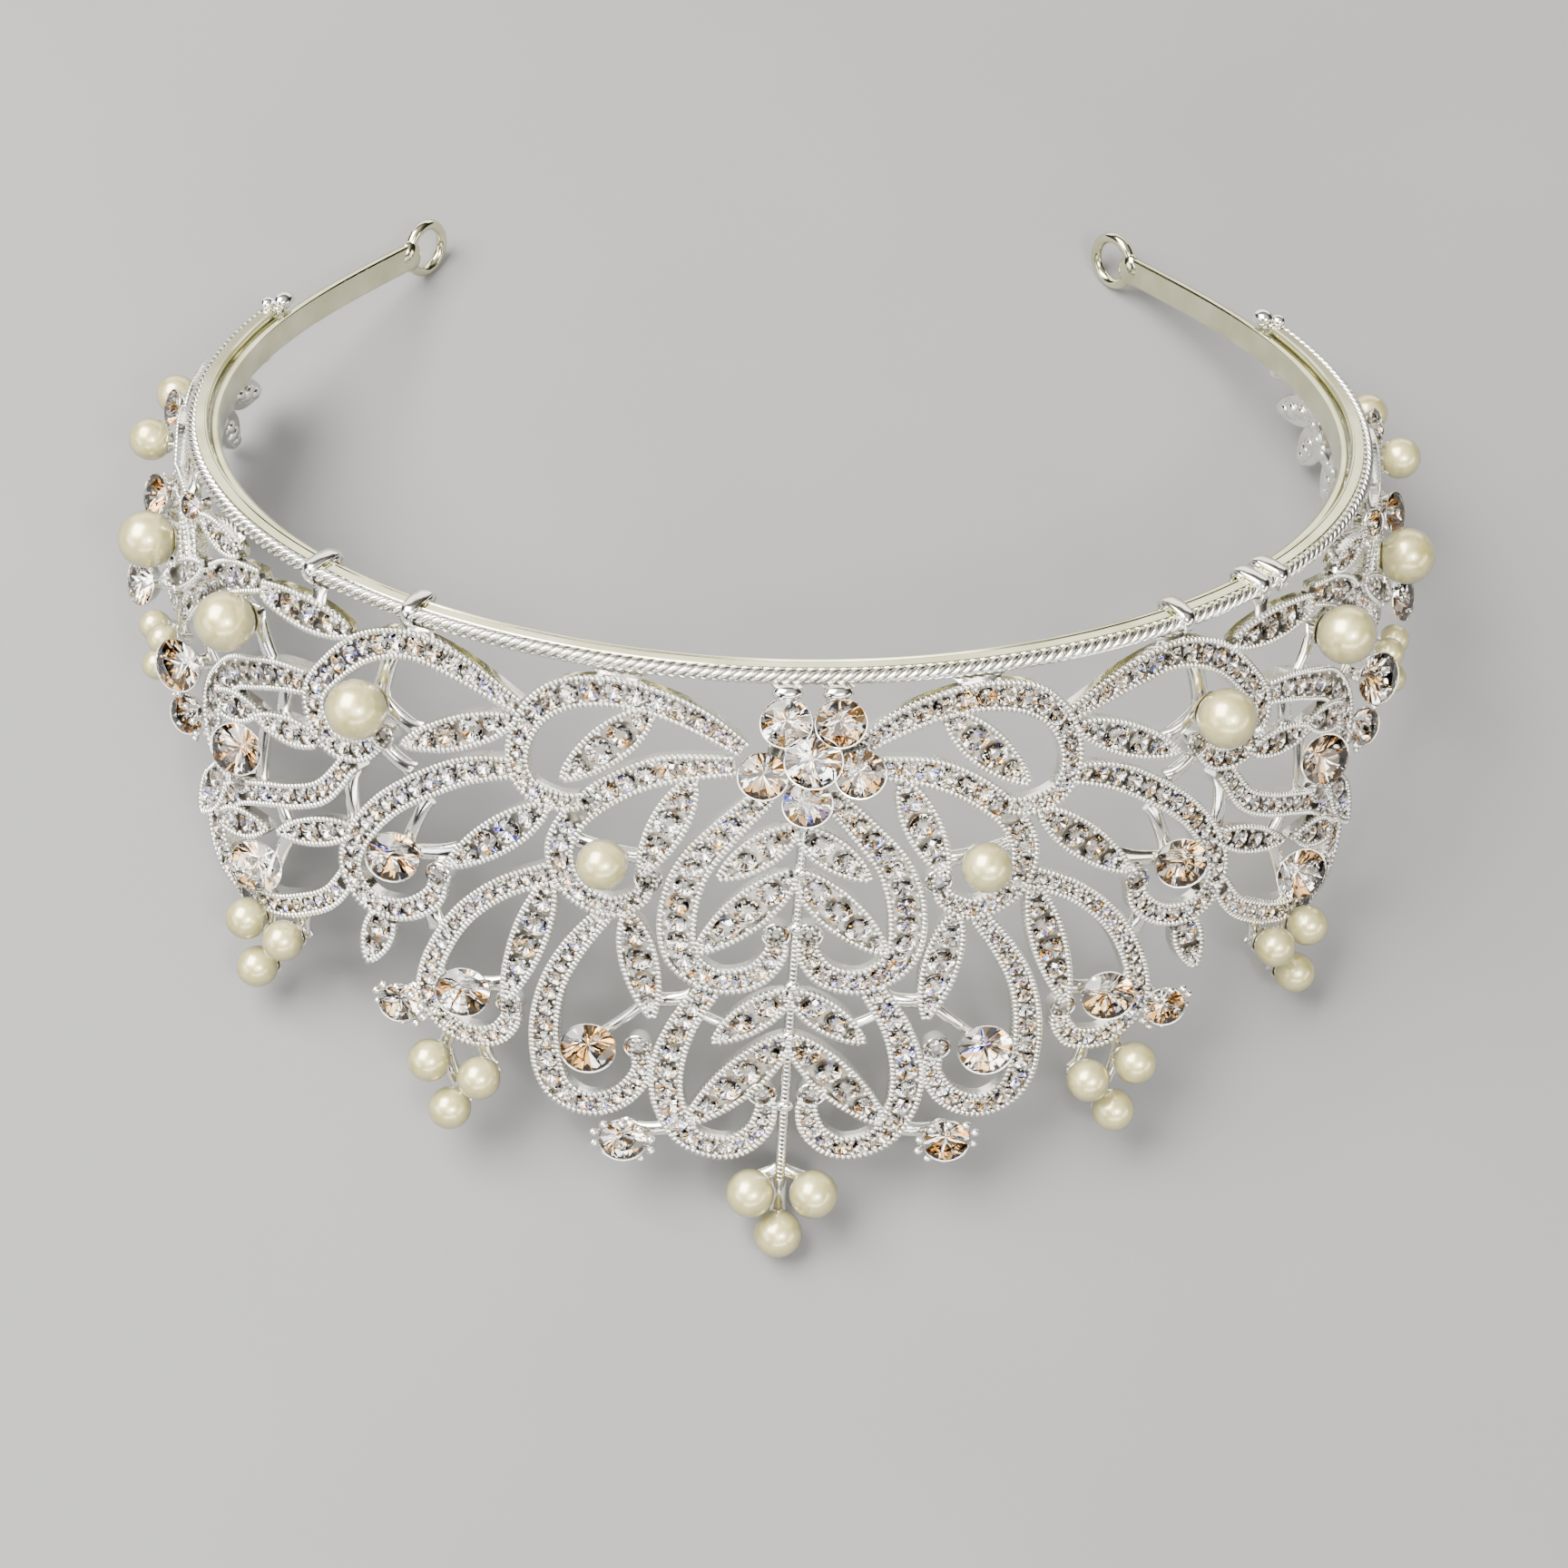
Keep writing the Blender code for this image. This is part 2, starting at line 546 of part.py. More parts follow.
def rail_solids():
    def rope(work):
        middle = (RAIL_LOW + RAIL_HIGH) / 2
        section = [(RAIL_INNER, RAIL_HIGH), (RAIL_OUTER - 0.5, RAIL_HIGH), (RAIL_OUTER, middle + 0.3),
                   (RAIL_OUTER, middle - 0.3), (RAIL_OUTER - 0.5, RAIL_LOW), (RAIL_INNER, RAIL_LOW)]
        sweep_ring(work, section, -RAIL_END_DEG, RAIL_END_DEG, RAIL_STEPS)

    def lug(along):
        theta = angle_at(along)
        _, out = plan(theta)
        across = Vector((-out.y, out.x, 0.0))
        origin = ring_point(theta, 0.0, 0.0)
        place = Matrix((
            (across.x, 0.0, -out.x, origin.x + out.x * 4.0),
            (across.y, 0.0, -out.y, origin.y + out.y * 4.0),
            (0.0, 1.0, 0.0, 1.05),
            (0.0, 0.0, 0.0, 1.0),
        ))
        profile = [(0.75, 0.0), (1.1, 3.0), (0.6, 3.8)]
        return lambda work: turned(work, profile, 6, place)
    return [rope] + [lug(along) for along in LUGS]


def clamp(side):
    """A ball-topped clamp that closes the end of the rope rail on the headband."""
    theta = side * math.radians(RAIL_END_DEG + 1.5)
    _, out = plan(theta)
    along = Vector((-out.y, out.x, 0.0))
    origin = ring_point(theta, 0.0, 0.0)
    place = Matrix((
        (along.x, out.x, 0.0, origin.x),
        (along.y, out.y, 0.0, origin.y),
        (0.0, 0.0, 1.0, origin.z),
        (0.0, 0.0, 0.0, 1.0),
    ))

    def block(work):
        bmesh.ops.create_cube(work, size=1.0, matrix=place @ Matrix.Translation((0.0, 2.7, 0.0))
                              @ Matrix.Diagonal((2.2, 2.4, 2.4, 1.0)))

    def ball(work):
        bmesh.ops.create_uvsphere(work, u_segments=8, v_segments=6, radius=1.6,
                                  matrix=place @ Matrix.Translation((0.0, 1.4, 1.95)))

    def small_ball(work):
        bmesh.ops.create_uvsphere(work, u_segments=6, v_segments=4, radius=1.0,
                                  matrix=place @ Matrix.Translation((-side * 0.6, 3.5, 1.3)))
    return [block, ball, small_ball]


def flower_solids():
    makers = []
    place = crest_axes(*FLOWER_CENTRE, FLOWER_SEAT + SEAT_GAP)
    makers.append(lambda work: turned(work, [(3.4, 0.03), (3.4, 1.5)], 8, place))
    for along, down, lift, size in FLOWER:
        spot = crest_axes(along, down, lift)
        profile = cup_profile(size)
        makers.append(lambda work, spot=spot, profile=profile: turned(
            work, profile, STONE_SIDES, spot))
    return makers


def claw_solids(along, down, size):
    """A stone in a cup with claws bent over its edge."""
    spot = crest_axes(along, down, STONE_SEAT + SEAT_GAP)
    makers = [lambda work: turned(work, cup_profile(size), STONE_SIDES, spot)]
    lean = Matrix.Rotation(math.radians(CLAW_LEAN_DEG), 4, "Y")
    for step in range(CLAW_COUNT):
        turn = Matrix.Rotation(2 * math.pi * (step + 0.5) / CLAW_COUNT, 4, "Z")
        place = spot @ turn @ Matrix.Translation((size * 0.42, 0.0, CLAW_LOW)) @ lean
        makers.append(lambda work, place=place: turned(
            work, [(0.30, 0.0), (0.36, CLAW_HIGH - CLAW_LOW)], 4, place))
    return makers


def material(name, hex_colour, metallic, roughness):
    """A Principled material from a display colour."""
    paint = bpy.data.materials.new(name)
    paint.use_nodes = True
    shader = paint.node_tree.nodes["Principled BSDF"]
    linear = [((int(hex_colour[i:i + 2], 16) / 255 + 0.055) / 1.055) ** 2.4 for i in (0, 2, 4)]
    shader.inputs["Base Color"].default_value = (*linear, 1.0)
    shader.inputs["Metallic"].default_value = metallic
    shader.inputs["Roughness"].default_value = roughness
    return paint


def lay_down(things):
    """Tip the tiara into its resting pose and stand it on the table, centred."""
    tip = Matrix.Scale(MM, 4) @ Matrix.Rotation(-math.radians(REST_TILT_DEG), 4, "X")
    low = Vector((1e9, 1e9, 1e9))
    high = -low
    for thing in things:
        thing.data.transform(tip)
        for vert in thing.data.vertices:
            low = Vector(map(min, low, vert.co))
            high = Vector(map(max, high, vert.co))
    shift = Matrix.Translation((-(low.x + high.x) / 2, -(low.y + high.y) / 2, -low.z))
    for thing in things:
        thing.data.transform(shift)


def build():
    clear_scene()
    parts = make_collection("pearl_tiara")
    cutters = make_collection("cutters")
    silver = material("silver_plate", "D9D6CE", 1.0, 0.22)
    bright = material("bright_silver", "E2E0DA", 1.0, 0.12)
    crystal = material("cut_crystal", "EDF0F4", 0.0, 0.05)
    pearl = material("cream_pearl", "EFE6CF", 0.0, 0.28)
    things = []

    crest = join_solids("crest", crest_solids(), parts, cutters)
    bend(crest)
    things.append((crest, silver))
    things.append((join_solids("headband", headband_solids(), parts, cutters), bright))
    things.append((join_solids("rope_rail", rail_solids(), parts, cutters), silver))
    for side, label in ((-1, "left"), (1, "right")):
        things.append((join_solids("clamp_" + label, clamp(side), parts, cutters), silver))
    things.append((join_solids("flower", flower_solids(), parts, cutters), crystal))

    for side, label in ((-1, "left"), (1, "right")):
        for name, along, down, size in LARGE_STONES:
            spot = crest_axes(side * along, down, STONE_SEAT + SEAT_GAP)
            stone = make_object("%s_%s" % (name, label), lambda work: turned(
                work, cup_profile(size), STONE_SIDES, spot), parts)
            things.append((stone, crystal))
        for name, along, down, size in CLAW_STONES:
            stone = join_solids("%s_%s" % (name, label), claw_solids(side * along, down, size),
                                parts, cutters)
            things.append((stone, crystal))
    beads = [(name + "_left", -along, down, lift, size) for name, along, down, lift, size in PEARLS]
    beads += [(name + "_right", along, down, lift, size) for name, along, down, lift, size in PEARLS]
    for name, along, down, lift, size in beads + TIP_PEARLS:
        spot = crest_axes(along, down, lift)
        bead = make_object(name, lambda work: bmesh.ops.create_uvsphere(
            work, u_segments=PEARL_SIDES, v_segments=PEARL_SIDES // 2, radius=size / 2,
            matrix=spot), parts)
        things.append((bead, pearl))

    lay_down([thing for thing, _ in things])
    for thing, paint in things:
        thing.data.materials.clear()
        thing.data.materials.append(paint)


build()
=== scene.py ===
"""The finish of the pearl tiara: milgrain scrolls, pave crystals, rope rail and pearls.

Metres, +Z up. The tiara lies upside down as it rests. Its crest is laid out flat in millimetres
(along the band, down the crest, lift off the sheet) and bent onto the leaning wall below the band.
"""
import math

import bmesh
import bpy
import numpy as np
from mathutils import Matrix, Vector


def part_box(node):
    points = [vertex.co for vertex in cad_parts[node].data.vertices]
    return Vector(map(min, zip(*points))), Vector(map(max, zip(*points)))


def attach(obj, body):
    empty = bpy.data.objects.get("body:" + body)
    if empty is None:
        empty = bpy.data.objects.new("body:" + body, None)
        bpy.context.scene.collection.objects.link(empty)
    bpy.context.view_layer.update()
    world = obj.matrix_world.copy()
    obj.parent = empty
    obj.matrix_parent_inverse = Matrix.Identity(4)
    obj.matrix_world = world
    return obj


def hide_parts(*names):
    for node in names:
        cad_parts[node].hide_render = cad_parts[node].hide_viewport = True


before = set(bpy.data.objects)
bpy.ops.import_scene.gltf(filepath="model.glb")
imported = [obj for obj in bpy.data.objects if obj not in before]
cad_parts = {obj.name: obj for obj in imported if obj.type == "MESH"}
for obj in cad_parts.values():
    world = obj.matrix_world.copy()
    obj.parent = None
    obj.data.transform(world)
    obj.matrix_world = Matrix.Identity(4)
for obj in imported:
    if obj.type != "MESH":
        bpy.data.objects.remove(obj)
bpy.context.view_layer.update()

MM = 0.001
SIDES = {-1: "left", 1: "right"}

# Sizes that the frame was built to, in millimetres and degrees
REST_TILT_DEG = 28.8
CREST_OFFSET = 3.75
CREST_DROP = 1.9
CREST_LEAN_DEG = 9.5
BAND_THICK = 1.2
BAND_CORNER = 0.40
BAND_HIGH = 4.0
BAND_HIGH_FRONT = 2.2
BAND_LOW_TO = 28.0
BAND_FULL_FROM = 85.0
BAND_END_DEG = 125.5
RAIL_END_DEG = 102.0
EYELET_RADIUS = 3.45
EYELET_WIRE = 0.78
EYELET_PAST = 0.5
EYELET_SOLDER = (1.9, 2.4, 1.30)
CLAMP_PAST_DEG = 1.5
TIP_PEARL_SPOT = (-0.5, 72.4, 3.8)

# The headband's inner edge from above: its radius is a sum of waves, given as turns and size
BAND_WAVES = [(0, 69.53), (2, -0.19), (3, -4.53), (4, 1.86), (5, -0.11)]

# Sizes of the fine work, in millimetres
PLATE_TOP = 1.6
CHANNEL_FLOOR = 0.85
BAR_TOP = 0.84
LEAF_LIFT = 0.32
HIGH_LEAF_LIFT = 1.45
LINK_DEEPER = 0.9
BACK_BUMP = 0.34
BAND_STEP = 0.4
ROUND_END_DEG = [25.0, 50.0, 70.0, 84.0]
RIM_WIDTH = 0.64
RIM_MOST_SHARE = 0.42
RIM_SUNK = 0.24
RIM_SOFT = 0.12
RIM_ROUND = 0.14
BACK_ROUND = 0.3
GRAIN_PITCH = 0.62  # drawn coarser than the real 0.5, so that the ribs show in the render
GRAIN_INSET = 0.16
RIB_SIZE = (0.255, 0.34, 0.40)
RIB_SUNK = 0.18
STEM_RIB_SIZE = (0.19, 0.56, 0.34)
STONE_MOST = 2.40
LEAF_STONE_MOST = 3.1
STONE_LEAST = 1.05
STONE_OVER_RIM = 0.16
STONE_SUNK = 0.20
STONE_TIP = 0.12
SET_STONE_TURN = 0.7
BEZEL_OVER = 0.08
STONE_GAP = 0.12
LEAF_STONE_GAP = 0.20
GRAIN_RADIUS = 0.30
ROPE_OUT = 3.42
ROPE_UP = -0.10
ROPE_PITCH = 1.25
ROPE_CORE = 0.61
STRAND_RADIUS = 0.33
# Radius of the dark rod at the rope's heart, whose colour is painted shade between the wires
ROPE_HEART = 0.66
ROPE_STRANDS = 4
ROPE_STEP = 0.24
FACE_UP = math.radians(17.0)
FACE_FRONT = math.radians(27.0)
CURL_STONE_RADIUS = 1.42
CURL_STONE_TIP = 0.14
CUP_RISE = 1.35
CUP_DEEP = 0.90
STALK_LEAST = 0.4
STALK_TOP_SHARE = 0.40
CLAW_COUNT = 10
CLAW_FOOT = 0.38
CLAW_REACH = 0.60
CLAW_RISE = 1.4
CLAW_BALL = 0.50
CLAW_STONE_LESS = 0.1
SCROLL_ENDS = (0.3, 1.2)  # left without stones at a band's two ends
LEAF_ENDS = (0.4, 0.3)
ROD_WAIST = 0.92
ROD_FLARE = 0.36

# A milgrain rib of size 1 from its foot up: half length, half width, height
TOOTH_RINGS = [(1.0, 1.0, -1.0), (0.96, 0.98, 0.25), (0.80, 0.88, 0.75), (0.48, 0.66, 1.0)]

# How far a band lies under an older one before it is cut, or its ribs left out
SCROLL_CLEAR = 0.5
LEAF_CLEAR = 0.40
RIB_CLEAR = 0.25

# Each band is this much thicker than the one before, so that no two share a plane
SCROLL_STEP = 0.012
LEAF_STEP = 0.010

# A cut stone, on a girdle radius of 1: its girdle, the first point of its back and how unevenly it is ground
GIRDLE_THICK = 0.06
FIRST_BACK_POINT = 48
BACK_UNEVEN = 0.028

# Tones of the facets, and the foil's colours from each tone on: amber, smoky and grey facets painted as
# reflections, clear silver, and blue and gold flecks painted as fire
PAINTED_AMBER_SHARE = 0.62
PAINTED_AMBER_TONES = (0.0, 0.18)
OTHER_TONES = (0.16, 0.97)
FOIL_AND_PAINTED_FLASH_TONES = [(0.0, "A07A48"), (0.09, "C4A272"), (0.16, "6A6664"), (0.20, "9A9692"), (0.25, "C8C6C4"),
              (0.32, "FFFFFF"), (0.70, "FCFAF5"), (0.88, "F0E6D2"), (0.958, "8088FF"), (0.984, "FFC860")]

# Scrolls of one half: centreline points from root to curl (along the band, down the crest, width)
SCROLLS = {
    "top": [(6.0, 7.0, 2.2), (10.5, 4.0, 3.2), (15.5, 2.0, 3.5), (21.0, 1.3, 3.7), (26.5, 2.5, 3.9),
            (30.2, 6.0, 3.3), (31.7, 11.0, 2.8), (30.4, 15.0, 2.8), (26.5, 16.3, 2.6), (22.8, 15.3, 1.8)],
    "pearl_hook": [(7.0, 9.0, 2.6), (14.5, 10.2, 3.6), (20.1, 13.2, 3.6), (24.4, 17.6, 3.3),
                   (26.2, 22.5, 3.4), (24.6, 27.2, 3.2), (20.5, 29.1, 2.9), (17.2, 27.4, 2.5),
                   (16.0, 24.6, 1.8)],
    "upper_frame": [(3.5, 12.6, 2.8), (7.8, 17.6, 3.5), (11.2, 22.7, 4.1), (12.7, 29.0, 4.4),
                    (12.0, 34.7, 4.0), (8.3, 37.6, 3.4), (4.2, 36.8, 3.2), (1.9, 33.8, 2.8),
                    (1.8, 30.9, 2.0)],
    "lower_frame": [(8.6, 38.2, 2.8), (11.6, 44.0, 3.3), (13.1, 50.0, 3.8), (12.8, 55.5, 3.7),
                    (10.4, 60.2, 3.3), (6.3, 61.4, 3.2), (3.2, 59.0, 2.9), (2.2, 55.6, 2.5),
                    (2.7, 53.2, 1.8)],
    "drop_one": [(20.2, 29.2, 2.2), (24.0, 35.3, 2.8), (26.4, 41.5, 3.1), (27.0, 48.5, 3.5),
                 (25.6, 55.0, 3.7), (22.0, 57.2, 3.3), (18.2, 55.4, 2.9), (15.9, 51.5, 2.5),
                 (16.4, 47.8, 1.9)],
    "drop_two": [(26.3, 25.6, 3.0), (32.5, 29.3, 2.8), (37.5, 35.0, 2.7), (40.6, 42.5, 2.9),
                 (40.6, 48.0, 3.2), (37.0, 51.0, 3.0), (33.0, 50.3, 2.8), (31.0, 47.5, 2.5),
                 (31.2, 45.0, 2.0)],
    "second_top": [(31.8, 5.2, 2.2), (39.0, 2.3, 3.5), (45.5, 1.3, 3.7), (51.5, 3.5, 3.8),
                   (56.0, 7.9, 3.6), (58.9, 13.0, 3.4), (56.5, 17.7, 3.4), (51.8, 17.4, 3.1),
                   (48.6, 14.1, 2.2)],
    "second_drop": [(31.5, 13.2, 2.6), (35.5, 14.2, 3.3), (39.8, 16.4, 3.6), (46.3, 21.7, 3.4),
                    (50.4, 27.3, 3.3), (52.1, 33.0, 3.2), (49.5, 36.9, 3.2), (44.8, 36.6, 3.0),
                    (41.0, 33.4, 2.8), (40.4, 30.0, 2.2)],
    "link_upper": [(58.6, 11.5, 3.0), (64.0, 12.8, 3.8), (69.0, 14.8, 4.2), (74.0, 17.7, 4.4),
                   (77.5, 23.5, 4.2), (75.5, 29.5, 3.8), (70.5, 31.0, 3.0)],
    "link_middle": [(53.0, 19.5, 2.6), (56.5, 25.0, 3.0), (61.0, 28.0, 3.2), (66.0, 30.3, 3.2),
                    (71.5, 33.5, 3.4), (74.6, 38.5, 3.6), (72.5, 43.5, 3.4), (68.0, 45.6, 2.8)],
    "link_lower": [(51.6, 33.6, 2.6), (54.5, 39.0, 2.8), (58.5, 42.3, 3.0), (63.0, 44.8, 3.0),
                   (68.5, 45.8, 2.6)],
    "third_top": [(69.0, 2.3, 3.0), (74.5, 4.4, 4.4), (79.5, 7.8, 4.6), (84.0, 12.0, 4.0),
                  (87.0, 16.5, 3.0)],
    "rear_one": [(84.6, 11.0, 2.4), (87.4, 5.0, 3.0), (92.5, 2.8, 3.6), (98.5, 4.4, 3.6),
                 (102.4, 9.5, 3.2), (101.0, 15.3, 3.0), (96.4, 18.0, 3.0), (91.4, 17.6, 2.4)],
    "rear_two": [(99.0, 4.6, 2.4), (104.0, 1.6, 2.8), (109.0, 1.6, 3.2), (112.0, 5.6, 3.2),
                 (110.8, 10.6, 3.0), (106.8, 12.8, 2.8), (102.0, 12.4, 2.2)],
    "rear_three": [(110.6, 3.0, 2.4), (114.5, 1.4, 2.8), (119.5, 1.0, 3.2), (124.0, 3.0, 3.2),
                   (125.8, 7.8, 3.2), (123.2, 12.2, 3.0), (118.6, 13.2, 2.6), (116.4, 10.2, 2.0)],
}

# Leaves of one half: root along, root down, tip along, tip down, width
LEAVES = [
    (16.6, 3.0, 26.1, 13.0, 4.8),
    (11.6, 11.2, 16.9, 23.9, 4.4),
    (0.2, 16.8, 8.2, 23.5, 4.3),
    (0.2, 22.6, 10.3, 33.6, 5.0),
    (0.2, 38.8, 8.1, 45.9, 4.2),
    (0.2, 45.0, 10.6, 57.9, 4.9),
    (18.0, 29.4, 15.0, 43.2, 4.5),
    (28.0, 17.2, 39.2, 28.2, 4.5),
    (27.0, 26.9, 31.6, 44.6, 4.3),
    (32.3, 6.9, 45.7, 14.1, 4.3),
    (46.6, 37.0, 48.8, 45.4, 4.2),
    (51.6, 28.0, 62.9, 34.0, 3.8),
    (57.2, 18.4, 67.9, 20.3, 3.8),
    (53.8, 2.4, 70.0, 3.0, 4.6),
    (73.6, 0.8, 83.6, 0.9, 3.8),
    (73.6, 30.8, 77.6, 39.8, 4.6),
    (77.0, 22.9, 67.4, 19.4, 4.3),
    (73.8, 38.2, 65.0, 34.6, 4.1),
    (85.6, 13.6, 90.4, 4.6, 3.6),
    (97.2, 17.0, 104.6, 11.0, 3.6),
    (110.4, 9.6, 118.2, 17.0, 4.0),
    (113.6, 12.0, 115.4, 21.0, 4.4),
    (119.6, 11.5, 122.8, 20.6, 4.8),
    (124.2, 9.6, 129.4, 17.6, 5.0),
    (126.0, 7.6, 134.6, 11.6, 5.0),
    (124.6, 4.6, 134.0, 3.2, 4.0),
]

# Leaves that lie over a scroll, given as the others are
HIGH_LEAVES = [
    (79.6, 5.4, 93.2, 16.0, 3.8),
    (104.4, 9.8, 113.0, 14.6, 3.6),
]

# Leaves from here on show their backs inside the headband, with mounds: share of the length, half width
REAR_LEAVES_FROM = 110.0
BACK_MOUNDS = [(0.22, 0.9), (0.50, 1.35), (0.76, 1.0)]
BACK_MOUND_SHARE = 0.15
BACK_MOUND_HIGH = 0.75

# Plain connecting bars of one half: from along, from down, to along, to down, width
BARS = [
    (6.0, 44.6, 10.8, 42.4, 1.2), (10.8, 40.8, 15.2, 41.6, 1.8), (15.6, 41.8, 21.6, 48.1, 1.3),
    (38.6, 27.0, 51.0, 30.4, 2.0), (43.0, 21.0, 45.5, 28.8, 1.6), (31.8, 43.2, 40.8, 45.2, 1.8),
    (48.4, 2.4, 50.0, 9.9, 2.2), (44.6, 12.6, 50.0, 9.9, 2.0), (16.4, 22.5, 25.8, 21.2, 1.8),
    (45.0, 18.0, 49.8, 15.6, 2.0), (53.4, 20.8, 52.6, 27.8, 1.8), (66.4, 13.4, 70.6, 7.7, 2.0),
    (70.6, 7.7, 76.0, 6.0, 1.8), (64.0, 12.6, 64.6, 19.8, 2.0), (67.4, 19.6, 67.8, 30.6, 1.8),
    (62.0, 33.6, 64.6, 29.6, 1.8), (62.0, 33.2, 65.8, 45.4, 1.8), (42.0, 34.2, 40.6, 38.2, 2.2),
    (11.6, 59.4, 16.6, 60.6, 1.9), (41.0, 48.4, 43.4, 48.7, 2.6), (75.6, 29.6, 82.6, 29.4, 2.2),
    (84.0, 12.6, 80.0, 19.5, 2.2), (93.0, 3.4, 96.2, 17.6, 1.8), (92.0, 17.4, 90.4, 23.0, 2.0),
    (88.4, 21.4, 90.6, 23.2, 1.4), (92.8, 22.4, 90.2, 23.4, 1.4), (89.8, 26.2, 90.4, 22.6, 1.4),
    (98.4, 17.4, 100.6, 21.0, 2.4), (101.6, 5.4, 111.6, 3.4, 1.8), (119.4, 1.4, 119.4, 12.8, 1.8),
    (131.0, 4.6, 135.2, 5.9, 1.3),
    (35.0, 50.6, 33.6, 55.2, 1.6), (38.0, 50.6, 39.2, 54.8, 1.6), (33.6, 55.2, 36.6, 60.7, 1.6),
    (39.2, 54.8, 36.6, 60.7, 1.6), (59.0, 42.6, 59.2, 47.0, 1.8), (64.2, 45.2, 64.95, 47.1, 1.8),
    (59.2, 47.0, 63.0, 53.2, 1.6), (64.95, 47.1, 63.0, 53.2, 1.6),
]

BAR_WIDER = 1.15

# Where bars and posts lie: their lowest and highest lift, and how much prouder their middle stands
BAR_SECTION = (-0.15, BAR_TOP, 0.55)
RAIL_POST_SECTION = (0.0, BAR_TOP)
FLOWER_POST_SECTION = (0.4, 2.2)

# The same for the rods of the tip's pearls, with their width first
TIP_ROD_SECTION = (1.9, -0.1, 1.2, 0.3)

# The cast bead at the rear end of a half: along, down, lift, radius
REAR_BEAD = (135.2, 5.9, 0.6, 1.15)

# Short posts of one half from the crest up to the rope rail: along, how far down, width
RAIL_POSTS = [(20.5, 3.0, 5.0), (45.5, 3.0, 4.0), (60.0, 3.0, 2.4), (75.5, 3.0, 1.8),
              (92.5, 3.0, 3.0), (107.0, 3.0, 3.0), (119.5, 3.0, 3.0), (130.0, 3.0, 2.4)]
RAIL_POSTS_FROM = -0.9
FLOWER_POSTS = [(-1.5, 1.6, 2.9), (4.1, 1.6, 2.9)]
FLOWER_POSTS_FROM = -1.3
FLOWER_POST_BALL = (-0.5, 1.6)
FLOWER_POST_BALL_SIZE = (1.75, 1.0, 1.1)

# The ribbed stem from the flower to the tip: along, down, width
STEM = [(1.2, 6.0, 1.2), (0.8, 17.0, 1.15), (0.2, 38.0, 1.15), (-0.2, 55.0, 1.2), (-0.4, 66.0, 1.3)]
STEM_TIP = (-0.4, 64.8)
STEM_KNOTS = [22.5, 30.0, 38.0, 45.0, 55.0]
STEM_KNOT_SIZE = (0.95, 0.8, 0.75)
STEM_LIFT = 1.0
STEM_THICK = 0.85
STEM_RIB_LIFT = 1.62
STEM_KNOT_LIFT = 1.5

# Fold-over lugs that hold the rope rail on the headband: along
LUGS = [-61.5, -46.6, 47.5, 60.0, 63.6]

# The fold of a lug from under the rope to behind the band: offset, height, width
LUG_FOLD = [(3.9, -1.3, 1.2), (4.5, -0.3, 1.5), (4.2, 0.8, 1.8), (3.0, 1.15, 2.1), (1.6, 1.25, 2.3),
            (0.4, 1.12, 2.2), (-0.4, 0.4, 1.9), (-0.35, -0.5, 1.3)]

# The solder that fills a lug: offset, height, and its half sizes along, across and up
LUG_SOLDER = [(0.9, 0.75, 1.20, 1.60, 0.72), (3.2, 0.40, 1.00, 1.25, 0.85)]

LUG_THICK = 0.42

# Section of the rope rail: offset, height
RAIL_SECTION = [(1.42, 0.50), (1.48, 0.86), (1.62, 1.00), (1.78, 1.00), (1.88, 0.86), (2.94, 0.82),
                (3.04, 0.76), (3.12, 0.50), (3.4, -0.2), (3.3, -0.75), (1.62, -0.75), (1.42, -0.55)]

# The balls of a clamp at the rail's end: place and half sizes, both onward along the band, out and up
CLAMP_BALLS = [((0.0, 2.7, 0.0), (1.5, 1.35, 1.35)), ((0.0, 1.4, 1.5), (1.7, 1.35, 1.15)),
               ((-1.2, 3.2, 1.1), (1.2, 1.0, 0.9))]

# Profiles of the cup that ends a curl and of the flower's hub: radius, height
CURL_CUP = [(0.05, -1.6), (1.50, -1.6), (1.60, -1.2), (1.60, 0.12), (1.52, 0.20), (1.42, 0.18),
            (1.38, -0.1), (0.3, -1.5), (0.05, -1.54)]
FLOWER_HUB = [(0.01, -0.3), (4.5, -0.3), (4.8, 0.0), (4.5, 0.3), (0.01, 0.3)]
FLOWER_HUB_SPOT = (1.3, 7.4, 0.75)

# Where the pearls stand, of one half: name, along, down, lift of the centre, diameter
PEARLS = [
    ("hook_pearl", 20.6, 21.8, 4.6, 6.1),
    ("side_pearl_1", 50.0, 9.9, 5.0, 7.4),
    ("side_pearl_2", 70.6, 7.7, 5.2, 7.4),
    ("side_pearl_3", 94.7, 10.9, 5.2, 7.4),
    ("side_pearl_4", 107.0, 4.2, 5.2, 5.6),
    ("side_pearl_5", 119.4, 5.2, 5.0, 5.6),
    ("drop_pearl_1", 33.4, 55.2, 4.1, 5.4),
    ("drop_pearl_2", 39.3, 54.8, 4.1, 5.4),
    ("drop_pearl_3", 36.6, 60.8, 4.1, 5.4),
    ("outer_drop_pearl_1", 59.2, 47.0, 4.1, 5.4),
    ("outer_drop_pearl_2", 65.0, 47.2, 4.1, 5.4),
    ("outer_drop_pearl_3", 63.0, 53.3, 3.9, 5.4),
    ("rear_pearl_1", 88.4, 21.4, 3.8, 4.1),
    ("rear_pearl_2", 92.8, 22.4, 3.8, 4.1),
    ("rear_pearl_3", 89.8, 26.2, 3.8, 4.1),
]
TIP_PEARLS = [
    ("tip_pearl_left", -3.6, 66.4, 3.8, 6.0),
    ("tip_pearl_right", 3.1, 66.5, 3.8, 6.0),
    ("tip_pearl_low", -0.5, 72.4, 3.8, 6.0),
]

